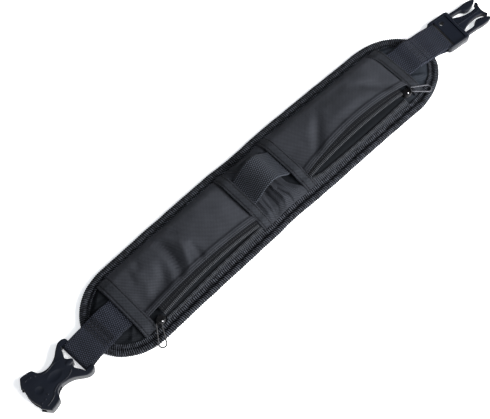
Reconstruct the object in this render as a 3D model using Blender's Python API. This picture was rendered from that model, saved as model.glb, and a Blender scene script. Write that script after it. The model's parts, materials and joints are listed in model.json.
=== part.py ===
"""Camera sling strap: a padded strap section lying flat, with two zip pockets, a carry loop and one half of
a side-release buckle on the webbing at each end.

Metres, +Z up, resting on z = 0.  +X runs along the pad to the plug, -Y is the side of the zips, and the
origin is the middle of the pad's underside.  Soft pieces are worked out in a straight frame, where x runs
along the pad and t across it, and are then bent by the slight bow in which the pad lies.
"""
import math

import bmesh
import bpy
from mathutils import Matrix, Vector

MM = 0.001

# Gap between pieces that touch
CLEARANCE = 0.3 * MM

# Pad
PAD_LENGTH = 362.0 * MM
PAD_WIDTH = 73.4 * MM
PAD_THICKNESS = 8.0 * MM
SOCKET_END_LENGTH = 43.2 * MM
PLUG_END_LENGTH = 48.0 * MM
PLUG_END_TAPER = 1.0 * MM
WAIST_DEPTH = 1.0 * MM
WAIST_LENGTH = 19.0 * MM
BOW = 3.4 * MM

# Edge of the pad: foam squeezed thin inside a folded tape
EDGE_THICKNESS = 3.2 * MM
EDGE_RISE_START = 5.0 * MM
EDGE_RISE_LENGTH = 11.0 * MM
UNDER_RISE_LENGTH = 2.5 * MM
BINDING_WIDTH = 8.4 * MM
BINDING_TAPE = 1.0 * MM
BINDING_SEAM = 5.4 * MM
BINDING_SEAM_DEPTH = 0.5 * MM
BINDING_SEAM_WIDTH = 1.2 * MM

# Fabric and bands on top of the pad
FABRIC = 1.2 * MM
BAND_WIDTH = 9.0 * MM
BAND_THICKNESS = 2.2 * MM
BAND_COVER = 1.3 * MM
BAND_SLOPE = 4.0 * MM

# Webbing
WEBBING_WIDTH = 25.4 * MM
WEBBING = 1.4 * MM
STRAP_RETURN = 33.0 * MM
STRAP_STEP_RUN = 3.0 * MM
FOLD_STEP_RUN = 7.0 * MM
FOLD_STEP_LEAD = 1.0 * MM
LOOP_RISE = 14.2 * MM
LOOP_OFFSET = 4.2 * MM
LOOP_FULLNESS = 1.4

# Pockets
POCKET_RISE = 8.6 * MM
TAPE_STEP_START = 4.0 * MM
TAPE_STEP_RUN = 3.0 * MM
CENTRE_RISE = 3.0 * MM
FOLD_HEIGHT = 2.0 * MM

# Zips
ZIP_TAPE = 0.9 * MM
ZIP_COIL = 1.5 * MM
ZIP_COIL_WIDTH = 1.8 * MM
ZIP_TUCK = 2.2 * MM
ZIP_DROOP = 0.16
ZIP_DROOP_RISE = 3.0 * MM
ZIP_PART = 0.5 * MM
SLIDER_LENGTH = 7.6 * MM
SLIDER_WIDTH = 6.2 * MM
SLIDER_PLATE = 0.8 * MM
SLIDER_GAP = 1.3 * MM
SLIDER_ROUNDING = 0.25 * MM
SLIDER_TIP = 0.55
BAIL_LENGTH = 3.2 * MM
BAIL_WIDTH = 1.0 * MM
BAIL_WALL = 0.5 * MM
BAIL_OPENING = 2.0 * MM
BAIL_OVERHANG = 1.2 * MM
PULL_LENGTH = 18.5 * MM
PULL_WIDTH_HINGE = 4.7 * MM
PULL_WIDTH_END = 6.8 * MM
PULL_WIRE = 0.9 * MM
PULL_PLAY = 0.25 * MM
PULL_CORNER = 0.7 * MM

# Buckle
BAR_DIAMETER = 3.2 * MM
BAR_ANCHOR = 0.5 * MM
SOCKET_LENGTH = 46.0 * MM
SOCKET_WIDTH = 34.2 * MM
SOCKET_THICKNESS = 8.6 * MM
SOCKET_WALL = 1.7 * MM
SOCKET_BORE_WIDTH = 27.0 * MM
SOCKET_ROUNDING = 1.1 * MM
PLUG_LENGTH = 45.6 * MM
PLUG_BODY_LENGTH = 19.2 * MM
PLUG_WIDTH = 30.6 * MM
PLUG_THICKNESS = 7.7 * MM
PLUG_PLATE = 5.4 * MM
PLUG_ROUNDING = 0.8 * MM
PLUG_LIP = 0.6 * MM
PLUG_SHOULDER = 2.0 * MM
PLUG_HOLLOW = 1.2 * MM
PLUG_SLOT_ROOM = 1.2 * MM
PRONG_THICKNESS = 4.4 * MM
PRONG_SPAN = 25.0 * MM
PRONG_ROUNDING = 0.5 * MM
PLUG_HOLE = 2.2 * MM
PLUG_HOLE_ALONG = 3.8 * MM
PLUG_HOLE_SIDE = 4.4 * MM
SIDE_PLAY = 0.5 * MM

# Bands across the pad: centre as a share of half the pad's length, width as a share of BAND_WIDTH, and
# what passes under it
BANDS = (
    # name, centre, width, passes under
    ("band_left_end", -0.789, 1.09, "strap_left"),
    ("band_left_middle", -0.130, 0.94, "carry_loop"),
    ("band_right_middle", 0.129, 1.00, "carry_loop"),
    ("band_right_end", 0.797, 0.94, "strap_right"),
)

# Straps: the band they leave, their offset across the pad as a share of PAD_WIDTH, their direction in plan
# in degrees and the distance from the pad's end to the buckle half's bar as a share of WEBBING_WIDTH
STRAPS = {
    "strap_left": dict(band="band_left_end", offset=0.0, heading=182.7, reach=0.512),
    "strap_right": dict(band="band_right_end", offset=0.049, heading=-5.8, reach=0.583),
}
BUCKLE_HEADING = {"strap_left": 182.7, "strap_right": -6.8}

# Pockets, across the pad in shares of half its width: the panel's free edge at its two ends and how far it is
# drawn back in the middle, the closed zip's line at both ends, how far the upper half is drawn off that line,
# and how far the lower half spreads off it, around where and over how much of the pocket's length.  Also how
# high the lip stands as a share of POCKET_RISE, and how sharply the panel rises at its ends
POCKETS = {
    "left": dict(
        bands=("band_left_end", "band_left_middle"), slider_end=0,
        edge=(-0.482, -0.498), drawn_back=0.006, seam=(-0.700, -0.655), lip=1.0, crown=0.70,
        part=0.030, spread=0.022, spread_middle=0.22, spread_reach=0.25,
    ),
    "right": dict(
        bands=("band_right_middle", "band_right_end"), slider_end=1,
        edge=(-0.488, -0.414), drawn_back=0.086, seam=(-0.600, -0.558), lip=1.22, crown=0.62,
        part=0.025, spread=0.080, spread_middle=0.50, spread_reach=0.70,
    ),
}

# Folds: middle of the fold and its run as shares of the panel's length and width, its width as a share of
# the panel's width, and its height as a share of FOLD_HEIGHT
FOLDS = {
    "left": (
        # along, across, run along, run across, width, height
        (0.42, 0.62, 0.05, -0.22, 0.07, -0.9),
        (0.37, 0.34, -0.06, -0.24, 0.07, -0.8),
        (0.50, 0.80, 0.06, -0.14, 0.06, -0.7),
        (0.24, 0.30, 0.02, -0.26, 0.08, -0.6),
        (0.54, 0.30, 0.03, -0.22, 0.06, -0.4),
    ),
    "right": (
        (0.24, 0.34, 0.06, 0.20, 0.08, -0.9),
        (0.80, 0.36, -0.07, 0.22, 0.10, -0.9),
        (0.47, 0.72, 0.20, 0.02, 0.12, -0.5),
    ),
    "centre": (
        (0.58, 0.24, 0.05, 0.28, 0.09, 1.0),
        (0.38, 0.22, 0.16, 0.24, 0.08, 0.9),
        (0.10, 0.24, 0.00, 0.22, 0.05, 0.5),
        (0.22, 0.90, 0.10, 0.06, 0.06, 0.7),
        (0.66, 0.91, 0.16, -0.03, 0.05, 0.5),
    ),
}

# Sliders: turn in plan from the zip's own direction and the pull's heading and dip, in degrees
SLIDERS = {
    "left": dict(outward=-1, heading=205.0, pull_heading=238.0, pull_dip=19.0),
    "right": dict(outward=1, heading=-11.0, pull_heading=-31.0, pull_dip=15.0),
}

# Half of the socket's outline in plan, from the bar to the mouth: shares of SOCKET_LENGTH and of half of
# SOCKET_WIDTH
SOCKET_OUTLINE = (
    # along, out
    (-0.066, 0.830), (-0.045, 0.925), (0.000, 0.985), (0.045, 1.000), (0.098, 0.965), (0.172, 0.840),
    (0.265, 0.650), (0.345, 0.545), (0.415, 0.497), (0.480, 0.488), (0.540, 0.510), (0.590, 0.575),
    (0.635, 0.700), (0.672, 0.850), (0.724, 0.945), (0.860, 1.000), (0.928, 0.785), (0.974, 0.470),
    (0.978, 0.380), (1.000, 0.330), (1.000, 0.000),
)

# Half of the opening between the socket's bar and its body, with the rounded tongue in its middle
SOCKET_RING = ((0.088, 0.771), (0.108, 0.600), (0.172, 0.300), (0.150, 0.150), (0.098, 0.060), (0.092, 0.0))

# Half of the bore behind the socket's mouth: shares of SOCKET_LENGTH and of half of SOCKET_BORE_WIDTH
SOCKET_BORE = (
    # along, out
    (1.100, 1.000), (0.618, 1.000), (0.560, 0.750), (0.413, 0.350),
)

# Half of one spring prong in plan: shares of the prong's length from the plug's body, and of half of
# PRONG_SPAN
PRONG_OUTLINE = (
    # along, out
    (-0.060, 1.000), (0.220, 0.985), (0.450, 0.990), (0.620, 1.020), (0.780, 0.990), (0.900, 0.930),
    (0.985, 0.820), (0.970, 0.760), (0.860, 0.640), (0.740, 0.520), (0.640, 0.440), (0.560, 0.430),
    (0.500, 0.520), (0.440, 0.640), (0.350, 0.720), (0.200, 0.730), (-0.060, 0.720),
)

# Half of the guide prong in plan, with a horn at its tip
GUIDE_OUTLINE = (
    (-0.060, 0.560), (0.080, 0.400), (0.250, 0.230), (0.480, 0.150), (0.700, 0.145), (0.860, 0.200),
    (0.960, 0.370), (1.000, 0.350), (0.985, 0.240), (0.965, 0.0),
)


def smooth(share):
    """Rises gently from 0 to 1."""
    share = min(max(share, 0.0), 1.0)
    return share * share * (3 - 2 * share)


def blend(start, end, share):
    return start + (end - start) * share


# Shape of the pad

HALF_LENGTH = PAD_LENGTH / 2
PLUG_END = HALF_LENGTH - PLUG_END_LENGTH
SOCKET_END = HALF_LENGTH - SOCKET_END_LENGTH


def side_width(x):
    """Half of the width between the long sides, with a slight waist in the middle and a taper to the plug."""
    waist = WAIST_DEPTH * math.exp(-(x / WAIST_LENGTH) ** 2)
    return PAD_WIDTH / 2 - waist - PLUG_END_TAPER * smooth(x / PLUG_END)


def half_width(x):
    """Half of the pad's width at x, measured over the binding."""
    length = PLUG_END_LENGTH if x > 0 else SOCKET_END_LENGTH
    past = min(max(abs(x) - (HALF_LENGTH - length), 0.0), length)
    return side_width(x) * math.sqrt(1 - (past / length) ** 2)


def edge_slant(x):
    """Distance across the pad for each unit of distance square to its edge, at x."""
    step = 0.1 * MM
    slope = (half_width(x + step) - half_width(x - step)) / (2 * step)
    return math.sqrt(1 + slope ** 2)


def bow(x):
    """How far the pad's middle line lies off the X axis."""
    return -BOW * (x / HALF_LENGTH) ** 2


def bent(x, t, z):
    return Vector((x, t + bow(x), z))


EDGE_UNDER = BINDING_TAPE + CLEARANCE
EDGE_TOP = EDGE_UNDER + EDGE_THICKNESS


def top_height(inset):
    """Height of the pad's top, by the distance in from the outline."""
    rise = smooth((inset - EDGE_RISE_START) / EDGE_RISE_LENGTH)
    return EDGE_TOP + (PAD_THICKNESS - EDGE_TOP) * rise


def bottom_height(inset):
    """Height of the pad's underside, which steps down where the binding ends."""
    fall = smooth((inset - BINDING_WIDTH - CLEARANCE) / UNDER_RISE_LENGTH)
    return EDGE_UNDER * (1 - fall)


# Distances in from the outline at which everything on the pad's shoulder has a row of points
FLAT_INSET = EDGE_RISE_START + EDGE_RISE_LENGTH
SHOULDER = [BINDING_WIDTH + CLEARANCE + k * (FLAT_INSET - BINDING_WIDTH - CLEARANCE) / 4 for k in range(5)]


def seat(x, t):
    """Lowest height for a piece that lies on the pad at x and t."""
    return top_height((half_width(x) - abs(t)) / edge_slant(x)) + CLEARANCE


def outline(side_steps=15, end_steps=14):
    """Points and outward normals round the pad's outer edge, from the plug end's corner on the zips' side."""
    points = []
    for end, here, there in ((1, PLUG_END, SOCKET_END), (-1, SOCKET_END, PLUG_END)):
        for k in range(end_steps):
            angle = math.pi * (k / end_steps - 0.5)
            x = end * blend(here, HALF_LENGTH, math.cos(angle))
            points.append((x, end * side_width(x) * math.sin(angle)))
        for k in range(side_steps):
            x = end * blend(here, -there, k / side_steps)
            points.append((x, end * side_width(x)))
    count = len(points)
    ring = []
    for k, (x, t) in enumerate(points):
        before, after = points[k - 1], points[(k + 1) % count]
        along = Vector((after[0] - before[0], after[1] - before[1])).normalized()
        ring.append((Vector((x, t)), Vector((along.y, -along.x))))
    return ring


# Building closed meshes

def make_object(name, mesh, material):
    """Links a new object with one material, smooth over its gentle edges."""
    obj = bpy.data.objects.new(name, mesh)
    bpy.context.scene.collection.objects.link(obj)
    mesh.materials.append(material)
    mesh.shade_smooth()
    mesh.set_sharp_from_angle(angle=math.radians(35))
    return obj


def make_mesh(name, vertices, faces):
    mesh = bpy.data.meshes.new(name)
    mesh.from_pydata(vertices, [], faces)
    work = bmesh.new()
    work.from_mesh(mesh)
    bmesh.ops.recalc_face_normals(work, faces=work.faces)
    work.to_mesh(mesh)
    work.free()
    return mesh


def rings_object(name, rings, material, closed):
    """Skins a list of rings of points.  The last ring joins the first if closed, and else both are capped."""
    count = len(rings[0])
    vertices = [point for ring in rings for point in ring]
    faces = []
    spans = len(rings) if closed else len(rings) - 1
    for r in range(spans):
        here, there = r * count, (r + 1) % len(rings) * count
        for k in range(count):
            step = (k + 1) % count
            faces.append((here + k, here + step, there + step, there + k))
    if not closed:
        faces.append(tuple(range(count)))
        faces.append(tuple(range((len(rings) - 1) * count, len(rings) * count)))
    return make_object(name, make_mesh(name, vertices, faces), material)


def sheet_object(name, under, over, material):
    """Closes two grids of points, one under and one over the sheet, with a rim."""
    rows, columns = len(under), len(under[0])
    size = rows * columns
    vertices = [p for row in under for p in row] + [p for row in over for p in row]

    def at(i, j):
        return i * columns + j

    faces = []
    for i in range(rows - 1):
        for j in range(columns - 1):
            quad = (at(i, j), at(i + 1, j), at(i + 1, j + 1), at(i, j + 1))
            faces.append(quad)
            faces.append(tuple(size + k for k in reversed(quad)))
    rim = [at(i, 0) for i in range(rows)] + [at(rows - 1, j) for j in range(1, columns)]
    rim += [at(i, columns - 1) for i in range(rows - 2, -1, -1)] + [at(0, j) for j in range(columns - 2, 0, -1)]
    for k, here in enumerate(rim):
        there = rim[(k + 1) % len(rim)]
        faces.append((here, there, size + there, size + here))
    return make_object(name, make_mesh(name, vertices, faces), material)


def plate_object(name, points, bottom, top, material, bevel=0.0):
    """Extrudes a plan outline from one height to another, with its upper and lower edges rounded."""
    work = bmesh.new()
    face = work.faces.new([work.verts.new((x, y, bottom)) for x, y in points])
    lifted = bmesh.ops.extrude_face_region(work, geom=[face])["geom"]
    new_points = [item for item in lifted if isinstance(item, bmesh.types.BMVert)]
    bmesh.ops.translate(work, verts=new_points, vec=(0, 0, top - bottom))
    bmesh.ops.recalc_face_normals(work, faces=work.faces)
    if bevel:
        flat = [e for e in work.edges if abs(e.verts[0].co.z - e.verts[1].co.z) < bevel / 10]
        bmesh.ops.bevel(work, geom=flat, offset=bevel, segments=1, profile=0.5, affect="EDGES")
    mesh = bpy.data.meshes.new(name)
    work.to_mesh(mesh)
    work.free()
    return make_object(name, mesh, material)


def mirrored(half):
    """Completes a half outline, given with y above 0, by its mirror image below."""
    return list(half) + [(x, -y) for x, y in reversed(half) if y > 0]


def cylinder_object(name, radius, length, axis, centre, material, sides=16):
    mesh = bpy.data.meshes.new(name)
    work = bmesh.new()
    bmesh.ops.create_cone(work, cap_ends=True, segments=sides, radius1=radius, radius2=radius, depth=length)
    turn = Matrix.Rotation(math.pi / 2, 4, "X") if axis == "Y" else Matrix.Identity(4)
    bmesh.ops.transform(work, matrix=Matrix.Translation(centre) @ turn, verts=work.verts)
    work.to_mesh(mesh)
    work.free()
    return make_object(name, mesh, material)


def combine(base, tool, operation):
    """Adds an exact Boolean to base, hides the tool and parents it to base."""
    modifier = base.modifiers.new(tool.name, "BOOLEAN")
    modifier.operation = operation
    modifier.solver = "EXACT"
    modifier.object = tool
    tool.hide_render = True
    tool.display_type = "WIRE"
    tool.parent = base
    return base


def make_material(name, colour, roughness, metallic=0.0):
    material = bpy.data.materials.new(name)
    material.use_nodes = True
    shader = material.node_tree.nodes["Principled BSDF"]
    shader.inputs["Base Color"].default_value = (*colour, 1)
    shader.inputs["Roughness"].default_value = roughness
    shader.inputs["Metallic"].default_value = metallic
    return material


# Pad and binding

def build_pad(material):
    insets = [EDGE_RISE_START, (EDGE_RISE_START + BINDING_WIDTH) / 2] + SHOULDER
    edge = EDGE_UNDER
    rounding = EDGE_THICKNESS / 4
    profile = [(inset, top_height(inset)) for inset in reversed(insets)]
    profile += [(edge + rounding, EDGE_TOP), (edge, EDGE_TOP - rounding)]
    profile += [(edge, EDGE_UNDER + rounding), (edge + rounding, EDGE_UNDER)]
    step = BINDING_WIDTH + CLEARANCE
    profile += [(step + share * UNDER_RISE_LENGTH, bottom_height(step + share * UNDER_RISE_LENGTH))
                for share in (0, 0.5, 1)]
    rings = [[bent(*(point - normal * inset), z) for point, normal in outline()] for inset, z in profile]
    return rings_object("pad", rings, material, closed=False)


def build_binding(material):
    """Tape folded round the edge: a C-shaped section whose upper flange dips at its seam."""
    corner = BINDING_TAPE * 1.6
    seam = BINDING_SEAM_WIDTH / 2
    upper = [BINDING_WIDTH, (BINDING_WIDTH + BINDING_SEAM) / 2, BINDING_SEAM + seam, BINDING_SEAM,
             BINDING_SEAM - seam, BINDING_SEAM * 0.55, corner]
    over = []
    for inset in upper:
        dip = BINDING_SEAM_DEPTH if inset == BINDING_SEAM else 0.0
        over.append((inset, top_height(inset) + CLEARANCE + BINDING_TAPE - dip))
    height = EDGE_TOP + CLEARANCE + BINDING_TAPE
    outer = [(corner * 0.3, height - corner * 0.4), (0.0, height * 0.6), (0.0, height * 0.35),
             (corner * 0.35, corner * 0.35), (corner, 0.0), (BINDING_WIDTH, 0.0)]
    inner = [(BINDING_WIDTH, BINDING_TAPE), (BINDING_TAPE + EDGE_THICKNESS / 4, BINDING_TAPE),
             (BINDING_TAPE, BINDING_TAPE + EDGE_THICKNESS / 4),
             (BINDING_TAPE, EDGE_TOP + CLEARANCE - EDGE_THICKNESS / 4),
             (BINDING_TAPE + EDGE_THICKNESS / 4, EDGE_TOP + CLEARANCE),
             (BINDING_SEAM, top_height(BINDING_SEAM) + CLEARANCE),
             (BINDING_WIDTH, top_height(BINDING_WIDTH) + CLEARANCE)]
    section = over + outer + inner
    rings = [[bent(*(point - normal * inset), z) for inset, z in section] for point, normal in outline()]
    return rings_object("edge_binding", rings, material, closed=True)


# Bands, straps and carry loop

def band_row(name):
    return next(row for row in BANDS if row[0] == name)


def band_edges(name):
    """The two x positions of a band's sides."""
    centre, width = band_row(name)[1] * HALF_LENGTH, band_row(name)[2] * BAND_WIDTH
    return centre - width / 2, centre + width / 2


def inner_edge(x):
    """Where the binding's flange ends, with room beside it."""
    return half_width(x) - (BINDING_WIDTH + CLEARANCE) * edge_slant(x)


def shoulder_rows(x):
    """Where the rows on the pad's shoulder lie across the pad at x, from the binding inwards."""
    return [half_width(x) - inset * edge_slant(x) for inset in SHOULDER]


def strap_root(name):
    """Where a strap's middle line leaves its band's middle, in the straight frame."""
    return band_row(STRAPS[name]["band"])[1] * HALF_LENGTH, STRAPS[name]["offset"] * PAD_WIDTH


def passage(passed):
    """Middle across the pad, half width and height of what a band covers."""
    if passed == "carry_loop":
        return LOOP_OFFSET, WEBBING_WIDTH / 2, FABRIC + CLEARANCE + WEBBING + CLEARANCE
    return strap_root(passed)[1], WEBBING_WIDTH / 2, WEBBING + CLEARANCE


def build_band(name, passed, material):
    """A flat fabric band from binding to binding, which steps up over the webbing that it holds."""
    left, right = band_edges(name)
    middle, reach, height = passage(passed)
    slant = abs(math.tan(math.radians(STRAPS[passed]["heading"]))) * BAND_WIDTH / 2 if passed in STRAPS else 0
    reach += slant + CLEARANCE
    ramps = [middle + side * (reach + share * BAND_SLOPE)
             for side, shares in ((-1, (1.0, 0.5, 0.0)), (1, (0.0, 0.5, 1.0))) for share in shares]
    under, over = [], []
    for share in (0.0, 0.12, 0.88, 1.0):
        x = blend(left, right, share)
        rounding = 0.25 * BAND_COVER if share in (0.0, 1.0) else 0.0
        rows = shoulder_rows(x)
        low, high = [], []
        for t in sorted([-row for row in rows] + ramps + rows):
            lift = smooth((reach + BAND_SLOPE - abs(t - middle)) / BAND_SLOPE)
            base = seat(x, t)
            low.append(bent(x, t, base + lift * height))
            high.append(bent(x, t, base + blend(BAND_THICKNESS, height + BAND_COVER, lift) - rounding))
        under.append(low)
        over.append(high)
    return sheet_object(name, under, over, material)


def strip(name, path, half, place, material):
    """A flat strip of webbing along a path of (distance, height), with its thickness square to the path."""
    under, over = [], []
    for k, (s, z) in enumerate(path):
        before, after = path[max(k - 1, 0)], path[min(k + 1, len(path) - 1)]
        along = Vector((after[0] - before[0], after[1] - before[1])).normalized()
        square = Vector((-along.y, along.x)) * WEBBING / 2
        under.append([place(s - square.x, side * half, z - square.y) for side in (-1, 1)])
        over.append([place(s + square.x, side * half, z + square.y) for side in (-1, 1)])
    return sheet_object(name, under, over, material)


def bar_point(name):
    """The middle of the buckle half's bar in plan, and the strap's length from its band's middle to the bar."""
    row = STRAPS[name]
    x, t = strap_root(name)
    length = HALF_LENGTH - abs(x) + row["reach"] * WEBBING_WIDTH
    heading = math.radians(row["heading"])
    start = bent(x, t, 0)
    return start + Vector((math.cos(heading), math.sin(heading), 0)) * length, length


def bar_height(name):
    return (SOCKET_THICKNESS if name == "strap_left" else PLUG_THICKNESS) / 2


def strap_path(name):
    """Middle line of the folded webbing: out over the pad's end, round the bar and back under itself."""
    length = bar_point(name)[1]
    edge = HALF_LENGTH - abs(strap_root(name)[0])
    axis = bar_height(name)
    turn = BAR_DIAMETER / 2 + CLEARANCE + WEBBING / 2
    over_edge = edge - BINDING_TAPE
    layer = WEBBING + CLEARANCE

    def rest(s):
        """Underside of a strip that lies on the pad and then on the binding."""
        inset = edge - s
        on_pad = top_height(inset) + CLEARANCE
        on_tape = top_height(inset) + BINDING_TAPE + 2 * CLEARANCE
        return blend(on_pad, on_tape, smooth((BINDING_WIDTH + STRAP_STEP_RUN - inset) / STRAP_STEP_RUN))

    def lower(s):
        drop = smooth((s - over_edge) / (length - over_edge - CLEARANCE))
        return blend(rest(min(s, over_edge)) + WEBBING / 2, axis - turn, drop)

    def upper(s):
        doubled = smooth((s - length + STRAP_RETURN + FOLD_STEP_LEAD) / FOLD_STEP_RUN + 1)
        level = rest(min(s, over_edge)) + WEBBING / 2 + layer * doubled
        drop = smooth((s - over_edge) / (length - over_edge))
        return blend(level, axis + turn, drop)

    slant = abs(math.tan(math.radians(STRAPS[name]["heading"]))) * WEBBING_WIDTH / 2
    start = slant + CLEARANCE - band_row(STRAPS[name]["band"])[2] * BAND_WIDTH / 2
    out = [blend(start, length, k / 20) for k in range(20)]
    path = [(s, upper(s)) for s in out]
    for k in range(9):
        angle = math.pi * (0.5 - k / 8)
        path.append((length + turn * math.cos(angle), axis + turn * math.sin(angle)))
    back = [blend(length, length - STRAP_RETURN, k / 14) for k in range(1, 15)]
    return path + [(s, lower(s)) for s in back]


def build_strap(name, material):
    heading = math.radians(STRAPS[name]["heading"])
    along = Vector((math.cos(heading), math.sin(heading), 0))
    across = Vector((-along.y, along.x, 0))
    start = bent(*strap_root(name), 0)

    def place(s, side, z):
        return start + along * s + across * side + Vector((0, 0, z))

    return strip(name, strap_path(name), WEBBING_WIDTH / 2, place, material)


def loop_ends():
    """The outer ends of the carry loop, hidden under the two middle bands."""
    return band_edges("band_left_middle")[0] + CLEARANCE, band_edges("band_right_middle")[1] - CLEARANCE


def loop_height(x):
    """Height of the loop's underside."""
    left, right = band_edges("band_left_middle")[1], band_edges("band_right_middle")[0]
    share = min(max((x - left) / (right - left), 0.0), 1.0)
    rise = math.sin(math.pi * share) ** LOOP_FULLNESS
    return top_height(FLAT_INSET) + 2 * CLEARANCE + FABRIC + LOOP_RISE * rise


def build_loop(material):
    first, last = loop_ends()
    left, right = band_edges("band_left_middle")[1], band_edges("band_right_middle")[0]
    stations = [first] + [blend(left, right, k / 16) for k in range(17)] + [last]
    path = [(x, loop_height(x) + WEBBING / 2) for x in stations]

    def place(x, side, z):
        return bent(x, LOOP_OFFSET + side, z)

    return strip("carry_loop", path, WEBBING_WIDTH / 2, place, material)


# Pockets and zips

def fold_relief(key, along, across):
    """Height of the panel's folds at a point given by its shares along and across the panel."""
    height = 0.0
    for middle, row, run_along, run_across, width, share in FOLDS[key]:
        run = Vector((run_along, run_across))
        offset = Vector((along - middle, across - row))
        reach = max(min(offset.dot(run) / run.length_squared, 1), -1)
        distance = (offset - run * reach).length
        height += share * math.exp(-(distance / width) ** 2)
    return height * FOLD_HEIGHT


def pocket_span(key):
    first, second = POCKETS[key]["bands"]
    return band_edges(first)[1] + CLEARANCE, band_edges(second)[0] - CLEARANCE


def pocket_share(key, x):
    left, right = pocket_span(key)
    return min(max((x - left) / (right - left), 0.0), 1.0)


def pocket_edge(key, x):
    """Where the panel's free edge lies across the pad."""
    row, share = POCKETS[key], pocket_share(key, x)
    straight = blend(*row["edge"], share) + row["drawn_back"] * math.sin(math.pi * share)
    return straight * PAD_WIDTH / 2


def zip_seam(key, x):
    """Where the two halves of the zip would meet."""
    return blend(*POCKETS[key]["seam"], pocket_share(key, x)) * PAD_WIDTH / 2


def upper_tip(key, x):
    """Edge of the zip's upper half, drawn off the closed line where the lip stands up."""
    drawn = POCKETS[key]["part"] * math.sqrt(math.sin(math.pi * pocket_share(key, x))) * PAD_WIDTH / 2
    return zip_seam(key, x) + drawn + ZIP_PART / 2


def lower_tip(key, x):
    """Edge of the zip's lower half, spread off the closed line towards the binding."""
    row, share = POCKETS[key], pocket_share(key, x)
    spread = math.exp(-((share - row["spread_middle"]) / row["spread_reach"]) ** 2)
    spread *= smooth(share / 0.1) * smooth((1 - share) / 0.1)
    return zip_seam(key, x) - row["spread"] * spread * PAD_WIDTH / 2 - ZIP_PART / 2


def lip_height(key, x):
    """How high the panel's free edge stands over the pad, with room for the tape beneath."""
    row, share = POCKETS[key], pocket_share(key, x)
    rise = POCKET_RISE * row["lip"] * math.sin(math.pi * share) ** row["crown"]
    return ZIP_TAPE + CLEARANCE + rise


def panel_rise(key, x, t):
    """Height of the panel's inner face over its seat."""
    near, far = pocket_edge(key, x), inner_edge(x)
    across = (t - near) / (far - near)
    shape = max(1 - across ** 2.2, 0.0) ** 0.85
    open_height = lip_height(key, x) - ZIP_TAPE - CLEARANCE
    tape_room = (ZIP_TAPE + CLEARANCE) * smooth((near + ZIP_TUCK + TAPE_STEP_START - t) / TAPE_STEP_RUN)
    inside = math.sin(math.pi * pocket_share(key, x)) * max(shape, 0.0)
    relief = fold_relief(key, pocket_share(key, x), across) * min(inside * 1.5, 1.0)
    return tape_room + max(open_height * shape + relief * smooth(across / 0.12), 0.0)


def slider_place(key):
    """Middle of a slider in the straight frame, against the end band and on the zip's line, and how far it
    reaches along the zip at its wider end."""
    row = SLIDERS[key]
    turn = math.radians(row["heading"])
    tip = (SLIDER_LENGTH * abs(math.cos(turn)) + SLIDER_TIP * SLIDER_WIDTH * abs(math.sin(turn))) / 2
    stop = pocket_span(key)[POCKETS[key]["slider_end"]]
    x = stop - row["outward"] * (tip + CLEARANCE)
    reach = (SLIDER_LENGTH * abs(math.cos(turn)) + SLIDER_WIDTH * abs(math.sin(turn))) / 2
    return x, zip_seam(key, x), reach


def zip_stations(key, count=15):
    """Positions along the zip's halves, from the middle band to the slider."""
    x, _, reach = slider_place(key)
    ends = list(pocket_span(key))
    ends[POCKETS[key]["slider_end"]] = x - SLIDERS[key]["outward"] * (reach + CLEARANCE)
    return [blend(*ends, k / count) for k in range(count + 1)]


def pocket_stations(key):
    """The zip's positions and two more past the slider, so that the panel and the tape bend alike."""
    stations = zip_stations(key)
    left, right = pocket_span(key)
    if POCKETS[key]["slider_end"] == 0:
        return [left, blend(left, stations[0], 0.4)] + stations
    return stations + [blend(right, stations[-1], 0.4), right]


def build_pocket(key, material):
    """A thin domed panel, sewn down on three sides, open and hollow towards the zip."""
    columns = 8
    under, over = [], []
    for x in pocket_stations(key):
        shoulder = shoulder_rows(x)[::-1]
        near = pocket_edge(key, x)
        across = [near] + [blend(near + ZIP_TUCK, shoulder[0], j / columns) for j in range(columns)] + shoulder
        heights = [(t, seat(x, t) + panel_rise(key, x, t)) for t in across]
        under.append([bent(x, t, z) for t, z in heights])
        over.append([bent(x, t, z + FABRIC) for t, z in heights])
    return sheet_object("pocket_" + key, under, over, material)


def build_zip_upper(key, material):
    """Tape sewn under the panel's free edge, with the coil along its own edge."""
    coil = ZIP_COIL_WIDTH
    under, over = [], []
    for x in zip_stations(key):
        near = pocket_edge(key, x)
        lip = lip_height(key, x) - ZIP_TAPE - CLEARANCE
        tip = upper_tip(key, x)
        low, high = [], []
        columns = ((near + ZIP_TUCK, 0), (near, 0), (blend(near, tip + coil, 0.5), 0), (tip + coil, 0),
                   (tip + coil * 0.6, 1), (tip + coil * 0.15, 1), (tip, 0))
        for t, bulge in columns:
            droop = ZIP_DROOP * max(near - t, 0) * smooth(lip / ZIP_DROOP_RISE)
            level = panel_rise(key, x, max(t, near)) - ZIP_TAPE - CLEARANCE
            base = seat(x, t) + level - droop
            low.append(bent(x, t, base))
            high.append(bent(x, t, base + (ZIP_COIL if bulge else ZIP_TAPE)))
        under.append(low)
        over.append(high)
    return sheet_object("zip_upper_" + key, under, over, material)


def build_zip_lower(key, material):
    """Tape sewn on the pad along the binding, with the coil along its free edge."""
    coil = ZIP_COIL_WIDTH
    under, over = [], []
    for x in zip_stations(key):
        tip, sewn = lower_tip(key, x), -inner_edge(x)
        columns = ((tip, 0), (tip - coil * 0.15, 1), (tip - coil * 0.6, 1), (tip - coil, 0), (sewn, 0))
        low = [bent(x, t, seat(x, t)) for t, _ in columns]
        high = [bent(x, t, seat(x, t) + (ZIP_COIL if bulge else ZIP_TAPE)) for t, bulge in columns]
        under.append(low)
        over.append(high)
    return sheet_object("zip_lower_" + key, under, over, material)


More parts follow.
